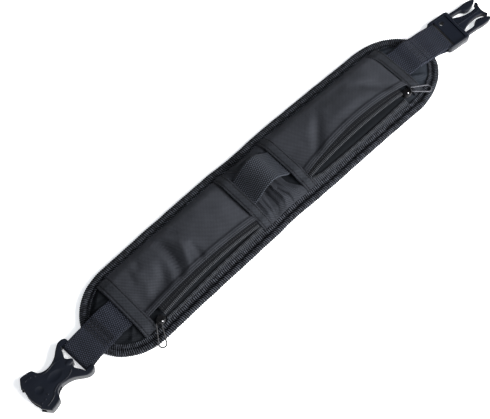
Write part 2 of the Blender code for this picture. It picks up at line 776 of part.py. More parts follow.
def build_centre_panel(material):
    """Loose fabric between the middle bands, sewn down all round, with folds under the carry loop."""
    left, right = band_edges("band_left_middle")[1] + CLEARANCE, band_edges("band_right_middle")[0] - CLEARANCE
    rows, columns = 12, 10
    under, over = [], []
    for i in range(rows + 1):
        along = i / rows
        x = blend(left, right, along)
        shoulder = shoulder_rows(x)
        flat = [blend(-shoulder[-1], shoulder[-1], j / columns) for j in range(1, columns)]
        low, high = [], []
        for t in [-row for row in shoulder] + flat + shoulder[::-1]:
            across = (t / inner_edge(x) + 1) / 2
            crown = (math.sin(math.pi * along) ** 0.8) * (math.sin(math.pi * across) ** 0.5)
            rise = (CENTRE_RISE + fold_relief("centre", along, across)) * crown
            low.append(bent(x, t, seat(x, t) + rise))
            high.append(bent(x, t, seat(x, t) + rise + FABRIC))
        under.append(low)
        over.append(high)
    return sheet_object("centre_panel", under, over, material)


# Sliders and pulls

def slider_seat(key):
    """Height of a slider's underside: clear of the pad beneath all of it."""
    x, t, _ = slider_place(key)
    return seat(x, min(abs(t), abs(t) - SLIDER_WIDTH / 2))


def hinge_height():
    """Height of the pull's hinge over a slider's underside: the wire hangs near the top of the bail."""
    return 2 * SLIDER_PLATE + SLIDER_GAP + BAIL_OPENING - PULL_WIRE / 2 - PULL_PLAY


def bail_shift():
    """The bail stands at the slider's outer end and a little beyond it."""
    return (SLIDER_LENGTH - BAIL_LENGTH) / 2 + BAIL_OVERHANG


def build_slider(key, material):
    """Two plates joined by a post, with a bail on the upper one."""
    name = "slider_" + key
    long, wide = SLIDER_LENGTH / 2, SLIDER_WIDTH / 2
    body = [(-long, -wide * 0.72), (-long * 0.3, -wide), (long * 0.3, -wide), (long, -wide * SLIDER_TIP),
            (long, wide * SLIDER_TIP), (long * 0.3, wide), (-long * 0.3, wide), (-long, wide * 0.72)]
    height = 2 * SLIDER_PLATE + SLIDER_GAP
    slider = plate_object(name, body, 0, height, material, bevel=SLIDER_ROUNDING)
    for side in (-1, 1):
        inner, outer = side * wide * 0.3, side * wide * 1.2
        channel = [(-long * 1.2, inner), (long * 1.2, inner), (long * 1.2, outer), (-long * 1.2, outer)]
        cut = plate_object(f"{name}_channel_{side}", channel, SLIDER_PLATE, SLIDER_PLATE + SLIDER_GAP, material)
        combine(slider, cut, "DIFFERENCE")
    reach, side = BAIL_LENGTH / 2, BAIL_WIDTH / 2
    arch = [(-reach, -side), (reach, -side), (reach, side), (-reach, side)]
    arch = [(x + bail_shift(), y) for x, y in arch]
    bail = plate_object(name + "_bail", arch, height - SLIDER_PLATE / 2, height + BAIL_OPENING + BAIL_WALL, material)
    window = reach - BAIL_WALL
    hole = [(-window, -side * 2), (window, -side * 2), (window, side * 2), (-window, side * 2)]
    hole = [(x + bail_shift(), y) for x, y in hole]
    opening = plate_object(name + "_bail_window", hole, height, height + BAIL_OPENING, material)
    combine(bail, opening, "DIFFERENCE")
    combine(slider, bail, "UNION")
    x, t, _ = slider_place(key)
    slider.location = bent(x, t, slider_seat(key))
    slider.rotation_euler = (0, 0, math.radians(SLIDERS[key]["heading"]))
    return slider


def build_pull(key, material):
    """A closed loop of wire: a cross piece held in the bail, two legs and a round end."""
    near, far = (PULL_WIDTH_HINGE - PULL_WIRE) / 2, (PULL_WIDTH_END - PULL_WIRE) / 2
    length = PULL_LENGTH - far - PULL_WIRE / 2
    corner = PULL_CORNER
    points = [(0, -near + corner), (0, 0), (0, near - corner), (corner * 0.3, near - corner * 0.3), (corner, near)]
    points += [(blend(corner, length, k / 4), blend(near, far, k / 4)) for k in range(1, 4)]
    points += [(length + far * math.sin(a), far * math.cos(a)) for a in (math.pi * k / 8 for k in range(9))]
    points += [(blend(corner, length, k / 4), -blend(near, far, k / 4)) for k in (3, 2, 1)]
    points += [(corner, -near), (corner * 0.3, -near + corner * 0.3)]
    curve = bpy.data.curves.new("pull_" + key, "CURVE")
    curve.dimensions = "3D"
    curve.bevel_depth = PULL_WIRE / 2
    curve.bevel_resolution = 1
    spline = curve.splines.new("POLY")
    spline.points.add(len(points) - 1)
    for point, (x, y) in zip(spline.points, points):
        point.co = (x, y, 0, 1)
    spline.use_cyclic_u = True
    curve.materials.append(material)
    pull = bpy.data.objects.new("pull_" + key, curve)
    bpy.context.scene.collection.objects.link(pull)
    row = SLIDERS[key]
    hinge = bpy.data.objects.new("hinge_" + key, None)
    bpy.context.scene.collection.objects.link(hinge)
    x, t, _ = slider_place(key)
    turn = math.radians(row["heading"])
    shift = Vector((math.cos(turn), math.sin(turn), 0)) * bail_shift()
    hinge.location = bent(x, t, slider_seat(key) + hinge_height()) + shift
    hinge.rotation_euler = (0, 0, math.radians(row["pull_heading"]))
    pull.parent = hinge
    pull.rotation_euler = (0, math.radians(row["pull_dip"]), 0)
    return pull


# Buckle halves, each built round its bar with +X away from the pad

def buckle_frame(name, strap):
    frame = bpy.data.objects.new(name, None)
    bpy.context.scene.collection.objects.link(frame)
    point = bar_point(strap)[0]
    frame.location = (point.x, point.y, bar_height(strap))
    frame.rotation_euler = (0, 0, math.radians(BUCKLE_HEADING[strap]))
    return frame


def web_room():
    """Half of the width that the webbing takes up between a buckle half's arms."""
    return WEBBING_WIDTH / 2 + SIDE_PLAY


def fold_room():
    """How far the folded webbing reaches from the middle of the bar."""
    return BAR_DIAMETER / 2 + 2 * CLEARANCE + WEBBING


def add_bar(body, name, material):
    """Joins the bar to the arms at both its ends."""
    bar = cylinder_object(name, BAR_DIAMETER / 2, 2 * (web_room() + BAR_ANCHOR), "Y", (0, 0, 0), material)
    return combine(body, bar, "UNION")


def build_socket(material):
    """Female half: a ring with the bar, a waist that is open at both sides, and a wide mouth."""
    half = SOCKET_WIDTH / 2
    outer = mirrored([(x * SOCKET_LENGTH, y * half) for x, y in SOCKET_OUTLINE])
    level = SOCKET_THICKNESS / 2
    socket = plate_object("buckle_socket", outer, -level, level, material, bevel=SOCKET_ROUNDING)
    ring = [(x * SOCKET_LENGTH, y * half) for x, y in SOCKET_RING]
    room = web_room()
    opening = [(-SOCKET_LENGTH * 0.2, room), (fold_room() * 0.6, room)] + [p for p in ring if p[1] < room]
    cut = plate_object("socket_ring_cut", mirrored(opening), -level * 1.5, level * 1.5, material)
    combine(socket, cut, "DIFFERENCE")
    cavity = [(x * SOCKET_LENGTH, y * SOCKET_BORE_WIDTH / 2) for x, y in SOCKET_BORE]
    bore = plate_object("socket_bore", mirrored(cavity), SOCKET_WALL - level, level - SOCKET_WALL, material)
    combine(socket, bore, "DIFFERENCE")
    add_bar(socket, "socket_bar", material)
    return socket


def build_plug(material):
    """Male half: a body with the bar and its slot, two spring prongs and a guide prong between them."""
    half, level = PLUG_WIDTH / 2, PLUG_THICKNESS / 2
    body_end = PLUG_BODY_LENGTH
    arm = BAR_DIAMETER / 2 + PLUG_LIP
    outer = [(-arm, half * 0.93), (0, half), (body_end - PLUG_SHOULDER, half), (body_end, half * 0.88),
             (body_end, PRONG_SPAN / 2 * 0.6), (body_end - PLUG_HOLLOW, 0)]
    plug = plate_object("buckle_plug", mirrored(outer), -level, level, material, bevel=PLUG_ROUNDING)
    room = web_room()
    slot_end = fold_room() + PLUG_SLOT_ROOM
    slot = [(-half, room), (slot_end, room)]
    cut = plate_object("plug_slot", mirrored(slot), -level * 1.5, level * 1.5, material)
    combine(plug, cut, "DIFFERENCE")
    shelf = [(slot_end - PLUG_SLOT_ROOM, room), (body_end * 0.82, room * 0.98)]
    for side in (-1, 1):
        recess = plate_object(f"plug_recess_{side}", mirrored(shelf), min(side * PLUG_PLATE / 2, side * level * 1.5),
                              max(side * PLUG_PLATE / 2, side * level * 1.5), material)
        combine(plug, recess, "DIFFERENCE")
    reach = PLUG_LENGTH - body_end
    span = PRONG_SPAN / 2
    prong = [(body_end + x * reach, y * span) for x, y in PRONG_OUTLINE]
    thick = PRONG_THICKNESS / 2
    for side in (-1, 1):
        points = [(x, side * y) for x, y in prong]
        piece = plate_object(f"plug_prong_{side}", points, -thick, thick, material, bevel=PRONG_ROUNDING)
        combine(plug, piece, "UNION")
    guide = mirrored([(body_end + x * reach, y * span) for x, y in GUIDE_OUTLINE])
    centre = plate_object("plug_guide", guide, -thick * 0.96, thick * 0.96, material, bevel=PRONG_ROUNDING)
    combine(plug, centre, "UNION")
    eye_place = (slot_end + PLUG_HOLE_ALONG, room - PLUG_HOLE_SIDE, 0)
    eye = cylinder_object("plug_eye", PLUG_HOLE / 2, PLUG_THICKNESS * 2, "Z", eye_place, material, sides=12)
    combine(plug, eye, "DIFFERENCE")
    add_bar(plug, "plug_bar", material)
    return plug


def main():
    for obj in list(bpy.data.objects):
        bpy.data.objects.remove(obj, do_unlink=True)
    fabric = make_material("pad fabric", (0.035, 0.036, 0.040), 0.80)
    pocket_fabric = make_material("pocket fabric", (0.042, 0.042, 0.047), 0.72)
    ribbed = make_material("binding tape", (0.040, 0.042, 0.046), 0.78)
    webbing = make_material("webbing", (0.034, 0.037, 0.044), 0.65)
    zip_tape = make_material("zip tape", (0.038, 0.039, 0.043), 0.70)
    metal = make_material("zip metal", (0.030, 0.031, 0.033), 0.35, 0.8)
    plastic = make_material("buckle plastic", (0.016, 0.018, 0.024), 0.32)

    build_pad(fabric)
    build_binding(ribbed)
    for name, _, _, passed in BANDS:
        build_band(name, passed, pocket_fabric)
    build_centre_panel(pocket_fabric)
    build_loop(webbing)
    for key in POCKETS:
        build_pocket(key, pocket_fabric)
        build_zip_upper(key, zip_tape)
        build_zip_lower(key, zip_tape)
        build_slider(key, metal)
        build_pull(key, metal)
    for name in STRAPS:
        build_strap(name, webbing)
    build_socket(plastic).parent = buckle_frame("socket_pivot", "strap_left")
    build_plug(plastic).parent = buckle_frame("plug_pivot", "strap_right")


main()
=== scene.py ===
"""Looks of the camera sling strap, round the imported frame: fabric, ribbed binding, webbing, stitches,
zips and the two buckle halves.

Metres, +Z up.  Soft pieces are worked out in a straight frame, where x runs along the pad and t across
it, and are then bent by the slight bow in which the pad lies.  -t is the side of the zips.
"""

import json
import math

import bmesh
import bpy
import numpy as np
from mathutils import Matrix, Vector


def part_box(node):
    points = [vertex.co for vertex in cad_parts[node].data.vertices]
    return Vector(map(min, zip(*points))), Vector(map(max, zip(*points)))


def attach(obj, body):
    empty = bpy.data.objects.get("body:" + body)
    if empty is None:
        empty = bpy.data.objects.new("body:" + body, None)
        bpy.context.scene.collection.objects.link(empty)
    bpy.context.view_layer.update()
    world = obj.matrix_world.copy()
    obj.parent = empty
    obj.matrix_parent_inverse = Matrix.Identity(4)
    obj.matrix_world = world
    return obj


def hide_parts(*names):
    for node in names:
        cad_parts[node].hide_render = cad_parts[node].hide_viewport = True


MM = 0.001
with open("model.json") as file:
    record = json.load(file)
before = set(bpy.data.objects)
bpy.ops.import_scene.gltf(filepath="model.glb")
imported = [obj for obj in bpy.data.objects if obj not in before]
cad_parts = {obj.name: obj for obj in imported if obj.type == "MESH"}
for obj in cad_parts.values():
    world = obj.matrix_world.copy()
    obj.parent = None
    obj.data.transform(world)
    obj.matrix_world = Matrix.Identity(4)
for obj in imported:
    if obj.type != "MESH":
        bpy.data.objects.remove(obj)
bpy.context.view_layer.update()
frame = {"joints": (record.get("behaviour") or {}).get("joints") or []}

# Sizes of the frame that the looks follow
edge_low, edge_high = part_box("edge_binding")
HALF_LENGTH = (edge_high.x - edge_low.x) / 2
PAD_WIDTH = 73.4 * MM
PAD_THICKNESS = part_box("pad")[1].z
SOCKET_END_LENGTH = 43.2 * MM
PLUG_END_LENGTH = 48.0 * MM
PLUG_END_TAPER = 1.0 * MM
WAIST_DEPTH = 1.0 * MM
WAIST_LENGTH = 19.0 * MM
BOW = 3.4 * MM
CLEARANCE = 0.3 * MM
EDGE_THICKNESS = 3.2 * MM
EDGE_RISE_START = 5.0 * MM
EDGE_RISE_LENGTH = 11.0 * MM
BINDING_WIDTH = 8.4 * MM
BINDING_TAPE = 1.0 * MM
FABRIC = 1.2 * MM
BAND_THICKNESS = 2.2 * MM
BAND_COVER = 1.3 * MM
BAND_SLOPE = 11.0 * MM
WEBBING_WIDTH = 25.4 * MM
WEBBING = 1.4 * MM
LOOP_OFFSET = 4.2 * MM
LOOP_RISE = 14.2 * MM
POCKET_RISE = 8.6 * MM
ZIP_TAPE = 0.9 * MM
ZIP_TUCK = 2.2 * MM
ZIP_DROOP = 0.16
ZIP_PART = 0.5 * MM
BAR_DIAMETER = 3.2 * MM
# Room between the bar's webbing and the buckle half, round it and at each side
BAR_PLAY = 0.6 * MM
SIDE_PLAY = 0.5 * MM
STRAP_RETURN = 33.0 * MM

PLUG_END = HALF_LENGTH - PLUG_END_LENGTH
SOCKET_END = HALF_LENGTH - SOCKET_END_LENGTH
EDGE_TOP = BINDING_TAPE + CLEARANCE + EDGE_THICKNESS
FLAT_INSET = EDGE_RISE_START + EDGE_RISE_LENGTH
# How far a cloth reaches under what holds its edge
TUCK = 0.4 * MM
# How far in from the edge the panels and the bands are stitched, and where the straps' folds are, from
# the band's middle
HEM_STITCHES = 1.0 * MM
BAND_STITCHES = 1.5 * MM
STITCH_BOXES = {"strap_left": (23 * MM, 33.5 * MM), "strap_right": (21 * MM, 32 * MM)}

# Bands across the pad: centre as a share of half the pad's length, width, and what passes under it
BANDS = {
    "band_left_end": (-0.789, 9.8 * MM, "strap_left"),
    "band_left_middle": (-0.130, 8.5 * MM, "carry_loop"),
    "band_right_middle": (0.129, 9.0 * MM, "carry_loop"),
    "band_right_end": (0.797, 8.5 * MM, "strap_right"),
}

# Straps: band, offset across the pad, heading in degrees, reach from the pad's end to the bar in webbing
# widths, and the joint
STRAPS = {
    "strap_left": ("band_left_end", 0.0, 182.7, 0.512, "socket_swing"),
    "strap_right": ("band_right_end", 3.6 * MM, -5.8, 0.583, "plug_swing"),
}

# Pockets, as shares of half the pad's width: the free edge, the closed zip's line, how far the upper half is
# drawn off it and how far the lower half spreads off it, around where and over how much of the length
POCKETS = {
    "left": dict(bands=("band_left_end", "band_left_middle"), edge=(-0.482, -0.498), drawn_back=0.006,
                 seam=(-0.700, -0.655), lip=1.0, crown=0.70, part=0.030,
                 spread=0.022, spread_middle=0.22, spread_reach=0.25),
    "right": dict(bands=("band_right_middle", "band_right_end"), edge=(-0.488, -0.414), drawn_back=0.086,
                  seam=(-0.600, -0.558), lip=1.22, crown=0.62, part=0.025,
                  spread=0.080, spread_middle=0.50, spread_reach=0.70),
}

# Creases and ridges of the loose fabric: start, bend and end as shares of the panel's length and width
# from the zip side, the half width in millimetres and the height in millimetres
CREASES = {
    "left": (
        ((0.385, 0.90), (0.45, 0.54), (0.34, 0.06), 4.3, -4.0),
        ((0.44, 0.96), (0.50, 0.88), (0.53, 0.74), 2.6, -1.4),
        ((0.545, 0.36), (0.55, 0.20), (0.53, 0.04), 2.8, -1.8),
        ((0.50, 0.55), (0.48, 0.35), (0.43, 0.12), 2.6, 1.1),
        ((0.30, 0.50), (0.27, 0.34), (0.22, 0.06), 4.0, -1.2),
        ((0.26, 0.32), (0.20, 0.18), (0.10, 0.12), 5.5, -2.4),
        ((0.02, 0.40), (0.06, 0.26), (0.04, 0.06), 4.5, -2.0),
        ((0.20, 0.96), (0.22, 0.84), (0.18, 0.72), 3.0, -1.2),
        ((0.10, 0.92), (0.13, 0.74), (0.09, 0.58), 2.6, -1.0),
        ((0.12, 0.62), (0.16, 0.44), (0.12, 0.30), 4.0, 0.8),
    ),
    "right": (
        ((0.36, 0.62), (0.26, 0.34), (0.16, 0.10), 4.4, -2.4),
        ((0.72, 0.58), (0.82, 0.36), (0.88, 0.08), 5.0, -2.4),
        ((0.30, 0.80), (0.50, 0.72), (0.70, 0.78), 5.0, -0.9),
        ((0.10, 0.70), (0.18, 0.52), (0.12, 0.30), 4.0, -0.7),
        ((0.92, 0.70), (0.88, 0.52), (0.94, 0.30), 4.0, -0.7),
        ((0.40, 0.30), (0.55, 0.36), (0.68, 0.28), 5.0, 0.7),
    ),
    "centre": (
        ((0.82, 0.40), (0.84, 0.18), (0.88, 0.02), 1.6, 2.6),
        ((0.70, 0.30), (0.68, 0.12), (0.60, 0.00), 0.9, -2.8),
        ((0.62, 0.42), (0.61, 0.18), (0.42, 0.00), 1.5, 3.2),
        ((0.42, 0.40), (0.36, 0.18), (0.18, 0.00), 2.8, -4.4),
        ((0.22, 0.32), (0.18, 0.14), (0.09, 0.00), 0.9, -2.0),
        ((0.13, 0.34), (0.09, 0.14), (0.03, 0.00), 1.0, 2.0),
        ((0.10, 0.97), (0.16, 0.90), (0.22, 0.84), 1.1, 2.4),
        ((0.14, 0.86), (0.20, 0.80), (0.24, 0.74), 1.3, -2.2),
        ((0.36, 0.93), (0.56, 0.95), (0.74, 0.90), 1.3, 1.6),
        ((0.60, 0.84), (0.66, 0.80), (0.74, 0.76), 1.3, 1.2),
        ((0.80, 0.92), (0.84, 0.82), (0.90, 0.74), 1.6, -2.0),
    ),
}

# Folds of the pad's own fabric beside the straps: start and end in millimetres, half width, height
END_FOLDS = (
    ((-149, 25), (-160, 17), 1.5, 1.1),
    ((-150, 17), (-163, 20), 1.4, -0.9),
    ((-150, -14), (-164, -26), 1.6, 1.2),
    ((-150, -23), (-158, -28), 1.5, -0.8),
    ((-152, -19), (-168, -15), 1.6, -1.0),
    ((150, -12), (163, -20), 1.5, 1.5),
    ((152, -18), (161, -25), 1.5, -1.0),
    ((150, -25), (158, -22), 1.2, 0.9),
    ((150, 21), (161, 17), 1.4, 0.9),
    ((152, 25), (158, 20), 1.3, -0.8),
)


def smooth(share):
    share = np.clip(share, 0.0, 1.0)
    return share * share * (3 - 2 * share)


def blend(start, end, share):
    return start + (end - start) * share


def bump(distance, width):
    return np.exp(-(distance / width) ** 2)


def arch(share, power=1.0):
    """0 at both ends of a share and 1 in the middle; a power under 1 makes the ends steep."""
    return np.sin(math.pi * share) ** power


def ripple(u, v, seed):
    """Gentle wavy noise of about -1 to 1, from a few waves in different directions."""
    draw = np.random.default_rng(seed)
    total, count = 0.0, 5
    for _ in range(count):
        angle, phase = draw.uniform(0, math.pi), draw.uniform(0, 2 * math.pi)
        stretch = draw.uniform(0.6, 1.7)
        total = total + np.sin(stretch * (u * math.cos(angle) + v * math.sin(angle)) + phase)
    return total / count * 1.4


def waves(x, t, long, wide, seed, height):
    """Ripples of about that length, width and height, in millimetres."""
    return ripple(x / (long * MM), t / (wide * MM), seed) * height * MM


def unit(vectors):
    return vectors / np.linalg.norm(vectors, axis=-1, keepdims=True)


def distances(path):
    """The distance along a path to each of its points."""
    return np.concatenate([[0], np.cumsum(np.linalg.norm(np.diff(path, axis=0), axis=1))])


def read(table, along, where):
    """Rows of a table, read between the distances at which they stand."""
    return np.stack([np.interp(where, along, column) for column in np.asarray(table).T], -1)


def closed_run(points):
    """The direction of a closed line at each of its points."""
    return unit(np.roll(points, -1, axis=0) - np.roll(points, 1, axis=0))


# Shape of the pad

def side_width(x):
    waist = WAIST_DEPTH * np.exp(-(x / WAIST_LENGTH) ** 2)
    return PAD_WIDTH / 2 - waist - PLUG_END_TAPER * smooth(x / PLUG_END)


def half_width(x):
    length = np.where(x > 0, PLUG_END_LENGTH, SOCKET_END_LENGTH)
    past = np.clip(np.abs(x) - (HALF_LENGTH - length), 0.0, length)
    return side_width(x) * np.sqrt(1 - (past / length) ** 2)


def edge_slant(x):
    step = 0.1 * MM
    slope = (half_width(x + step) - half_width(x - step)) / (2 * step)
    return np.sqrt(1 + slope ** 2)


def bow(x):
    return -BOW * (x / HALF_LENGTH) ** 2


def bent(x, t, z):
    x, t, z = np.broadcast_arrays(x, t, z)
    return np.stack([x, t + bow(x), z], -1).astype(float)


def top_height(inset):
    rise = smooth((inset - EDGE_RISE_START) / EDGE_RISE_LENGTH)
    return EDGE_TOP + (PAD_THICKNESS - EDGE_TOP) * rise


def seat(x, t):
    return top_height((half_width(x) - np.abs(t)) / edge_slant(x)) + CLEARANCE


def outline(count):
    """Points, outward normals and distances of count even steps round the pad's edge, and its length."""
    angles = np.linspace(-math.pi / 2, math.pi / 2, 400)
    points = []
    for end, here, there in ((1, PLUG_END, SOCKET_END), (-1, SOCKET_END, PLUG_END)):
        x = end * blend(here, HALF_LENGTH, np.cos(angles))
        points.append(np.stack([x, end * side_width(x) * np.sin(angles)], -1))
        x = np.linspace(end * here, -end * there, 400)[1:-1]
        points.append(np.stack([x, end * side_width(x)], -1))
    path = np.concatenate(points + [points[0][:1]])
    along = distances(path)
    steps = np.linspace(0, along[-1], count, endpoint=False)
    even = read(path, along, steps)
    run = closed_run(even)
    return even, np.stack([run[:, 1], -run[:, 0]], -1), steps, along[-1]


def band_edges(name):
    centre, width, _ = BANDS[name]
    return centre * HALF_LENGTH - width / 2, centre * HALF_LENGTH + width / 2


def inner_edge(x):
    return half_width(x) - (BINDING_WIDTH + CLEARANCE) * edge_slant(x)


# Building closed meshes

def add_object(name, data):
    obj = bpy.data.objects.new(name, data)
    bpy.context.scene.collection.objects.link(obj)
    return obj


def add_solid(name, work, material):
    """A new object of a bmesh, which is freed."""
    mesh = bpy.data.meshes.new(name)
    work.to_mesh(mesh)
    work.free()
    mesh.materials.append(material)
    return add_object(name, mesh)


def soften(obj, sharp=32):
    """Shades it smooth, with sharp edges from that angle in degrees."""
    obj.data.shade_smooth()
    obj.data.set_sharp_from_angle(angle=math.radians(sharp))
    return obj


def mesh_object(name, vertices, faces, material, weave=None, sharp=40):
    """A new piece.  weave holds each point's place on the cloth, in metres, for the material."""
    mesh = bpy.data.meshes.new(name)
    mesh.from_pydata(np.asarray(vertices).tolist(), [], faces)
    if weave is not None:
        place = mesh.attributes.new("weave", "FLOAT_VECTOR", "POINT")
        flat = np.zeros((len(vertices), 3), np.float32)
        flat[:, :2] = weave
        place.data.foreach_set("vector", flat.ravel())
    work = bmesh.new()
    work.from_mesh(mesh)
    bmesh.ops.recalc_face_normals(work, faces=work.faces)
    work.to_mesh(mesh)
    work.free()
    mesh.materials.append(material)
    return soften(add_object(name, mesh), sharp)


def quads(rows, columns, closed=False):
    """Faces between rows of points, each row a ring; closed joins the last row to the first."""
    i = np.arange(rows if closed else rows - 1)[:, None]
    j = np.arange(columns)[None, :]
    k, m = (i + 1) % rows, (j + 1) % columns
    return np.stack([i * columns + j, i * columns + m, k * columns + m, k * columns + j], -1).reshape(-1, 4)


def tube_faces(base, rings, sides):
    """Faces of a tube, closed at both ends, whose points start at base."""
    last = base + (rings - 1) * sides
    faces = (quads(rings, sides) + base).tolist()
    return faces + [list(range(base, base + sides)), list(range(last, last + sides))]


def loft(name, rings, material, weave=None, closed=False, sharp=40):
    """Skins rings of points.  An open loft gets a flat face at both ends."""
    rows, columns = rings.shape[:2]
    faces = quads(rows, columns, closed).tolist() if closed else tube_faces(0, rows, columns)
    flat = None if weave is None else weave.reshape(-1, 2)
    return mesh_object(name, rings.reshape(-1, 3), faces, material, flat, sharp)


def grid_normals(top):
    """Upward normals of a grid of points."""
    normal = np.cross(np.gradient(top, axis=0), np.gradient(top, axis=1))
    normal /= np.maximum(np.linalg.norm(normal, axis=2, keepdims=True), 1e-12)
    return -normal if normal[..., 2].mean() < 0 else normal


def weave_places(top):
    """Each point's distance along the middle of the cloth, and across it from there."""
    middle = top.shape[1] // 2
    across = np.stack([distances(row) for row in top])
    along = np.broadcast_to(distances(top[:, middle])[:, None], across.shape)
    return np.stack([along, across - across[:, middle:middle + 1]], -1)


def sheet(name, top, thickness, material, rim=3):
    """A cloth of that thickness under a grid of points, with rounded long edges."""
    rows, columns = top.shape[:2]
    normal = grid_normals(top)
    thickness = np.broadcast_to(thickness, (rows, columns))[..., None]
    under = top - normal * thickness
    weave = weave_places(top)
    angles = np.linspace(0, math.pi, rim + 2)[1:-1]

    def edge(column, neighbour):
        out = unit(top[:, column] - top[:, neighbour])
        centre = (top[:, column] + under[:, column]) / 2
        half = thickness[:, column] / 2
        return np.stack([centre + (normal[:, column] * math.cos(a) + out * math.sin(a)) * half
                         for a in angles], 1)

    rings = np.concatenate([top, edge(-1, -2), under[:, ::-1], edge(0, 1)[:, ::-1]], 1)
    places = np.concatenate([weave, np.repeat(weave[:, -1:], rim, 1), weave[:, ::-1],
                             np.repeat(weave[:, :1], rim, 1)], 1)
    count = rings.shape[1]
    last = 2 * columns + rim - 1
    faces = quads(rows, count).tolist()
    for start in (0, (rows - 1) * count):
        for j in range(columns - 1):
            faces.append([start + j, start + j + 1, start + last - j - 1, start + last - j])
        faces.append([start + j for j in range(columns - 1, columns + rim + 1)])
        faces.append([start + j for j in range(last, count)] + [start])
    return mesh_object(name, rings.reshape(-1, 3), faces, material, places.reshape(-1, 2), 50)


# Sections of a stitch: share of its length, share of its radius, and how many radii over the cloth
STITCH_SECTIONS = ((0.0, 0.55, -0.65), (0.22, 1.0, 0.10), (0.78, 1.0, 0.10), (1.0, 0.55, -0.65))


class Threads:
    """Collects stitches, each a small rounded thread, and makes one piece of them."""

    def __init__(self, radius):
        self.radius = radius
        self.vertices, self.faces = [], []

    def add(self, start, end, up):
        start, end, up = Vector(start), Vector(end), Vector(up).normalized()
        along = (end - start).normalized()
        side = along.cross(up).normalized()
        lift = side.cross(along)
        self.faces += tube_faces(len(self.vertices), len(STITCH_SECTIONS), 6)
        for share, size, rise in STITCH_SECTIONS:
            centre = start.lerp(end, share) + up * self.radius * rise
            for k in range(6):
                ring = side * math.cos(math.pi * k / 3) + lift * math.sin(math.pi * k / 3)
                self.vertices.append(centre + ring * self.radius * size)

    def run(self, path, ups, pitch, fill=0.78):
        """A row of stitches along a path of points, with the direction away from the cloth at each."""
        along = distances(path)
        count = max(int(along[-1] / pitch), 1)
        pitch = along[-1] / count
        for k in range(count):
            first, last = (k + 0.5 - fill / 2) * pitch, (k + 0.5 + fill / 2) * pitch
            self.add(read(path, along, first), read(path, along, last), read(ups, along, (first + last) / 2))

    def make(self, name, material):
        return mesh_object(name, self.vertices, self.faces, material, sharp=80)


# Materials

class Shader:
    """A Principled material and short ways to add nodes to it."""

    def __init__(self, name, roughness, metallic=0.0, gloss=0.5):
        self.material = bpy.data.materials.new(name)
        self.material.use_nodes = True
        self.tree = self.material.node_tree
        self.set("Roughness", roughness)
        self.set("Metallic", metallic)
        self.set("Specular IOR Level", gloss)

    def put(self, socket, value):
        if isinstance(value, bpy.types.NodeSocket):
            self.tree.links.new(value, socket)
        else:
            socket.default_value = value

    def set(self, name, value):
        self.put(self.tree.nodes["Principled BSDF"].inputs[name], value)

    def node(self, kind, inputs, output=0, **settings):
        """Adds a node, its inputs by number or name, and gives one of its outputs."""
        made = self.tree.nodes.new(kind)
        for name, value in settings.items():
            setattr(made, name, value)
        for key, value in inputs.items():
            self.put(made.inputs[key], value)
        return made.outputs[output]

    def maths(self, operation, first, second=0.0, third=0.0):
        return self.node("ShaderNodeMath", {0: first, 1: second, 2: third}, operation=operation)

    def place(self):
        """The two directions of the cloth, in metres."""
        weave = self.node("ShaderNodeAttribute", {}, "Vector", attribute_type="GEOMETRY",
                          attribute_name="weave")
        return [self.node("ShaderNodeSeparateXYZ", {0: weave}, k) for k in (0, 1)]

    def wave(self, value, period, phase=0.0):
        """A sine from 0 to 1 of that period."""
        turned = self.maths("MULTIPLY_ADD", value, 2 * math.pi / period, phase)
        return self.maths("MULTIPLY_ADD", self.maths("SINE", turned), 0.5, 0.5)

    def ramp(self, value, low, high):
        """0 up to low, 1 from high on, and smooth between."""
        return self.node("ShaderNodeMapRange", {0: value, 1: low, 2: high}, interpolation_type="SMOOTHSTEP")

    def noise(self, scale, detail):
        """Noise of the object's own coordinates."""
        place = self.node("ShaderNodeTexCoord", {}, "Object")
        return self.node("ShaderNodeTexNoise", {"Scale": scale, "Detail": detail, "Vector": place})

    def mottled(self, height, share, scale, detail, noise):
        """That share of a height, with so much noise added."""
        plain = self.maths("MULTIPLY", height, share)
        return self.maths("MULTIPLY_ADD", self.noise(scale, detail), noise, plain)

    def mix(self, factor, dark, light):
        dark, light = (c if isinstance(c, bpy.types.NodeSocket) else (*c, 1) for c in (dark, light))
        return self.node("ShaderNodeMix", {0: factor, 6: dark, 7: light}, 2, data_type="RGBA")

    def dye(self, tone, colour, low, high):
        """Colours it from low to high times a colour as the tone goes from 0 to 1."""
        self.set("Base Color", self.mix(tone, tint(colour, low), tint(colour, high)))

    def bumped(self, height, distance):
        """Adds the bump and gives the finished material."""
        inputs = {"Strength": 1.0, "Distance": distance, "Height": height}
        self.set("Normal", self.node("ShaderNodeBump", inputs))
        return self.material


def tint(colour, share):
    return tuple(c * share for c in colour)


def twill_material(name, colour, contrast=0.6, paler=None):
    """Fine diagonal twill with a fainter diagonal across it; paler says where along the cloth it turns
    paler, and how many times."""
    s = Shader(name, 0.75, gloss=0.06)
    u, v = s.place()
    first, second = (s.wave(s.maths(way, u, v), 1.6 * MM) for way in ("ADD", "SUBTRACT"))
    height = s.maths("MULTIPLY", s.maths("MULTIPLY_ADD", second, 0.5, 0.5), first)
    # The tone follows the twill's height, lighter on the ridges and darker between them: partly painted shade
    # and highlight, partly random tone from the noise.
    tone = s.mottled(height, 0.75, 70, 4, 0.5)
    ends = tint(colour, 1 - contrast), tint(colour, 1 + contrast * 1.4)
    shade = s.mix(tone, *ends)
    if paler:
        start, end, times = paler
        shade = s.mix(s.ramp(u, start, end), shade, s.mix(tone, *(tint(c, times) for c in ends)))
    s.set("Base Color", shade)
    return s.bumped(height, 0.16 * MM)


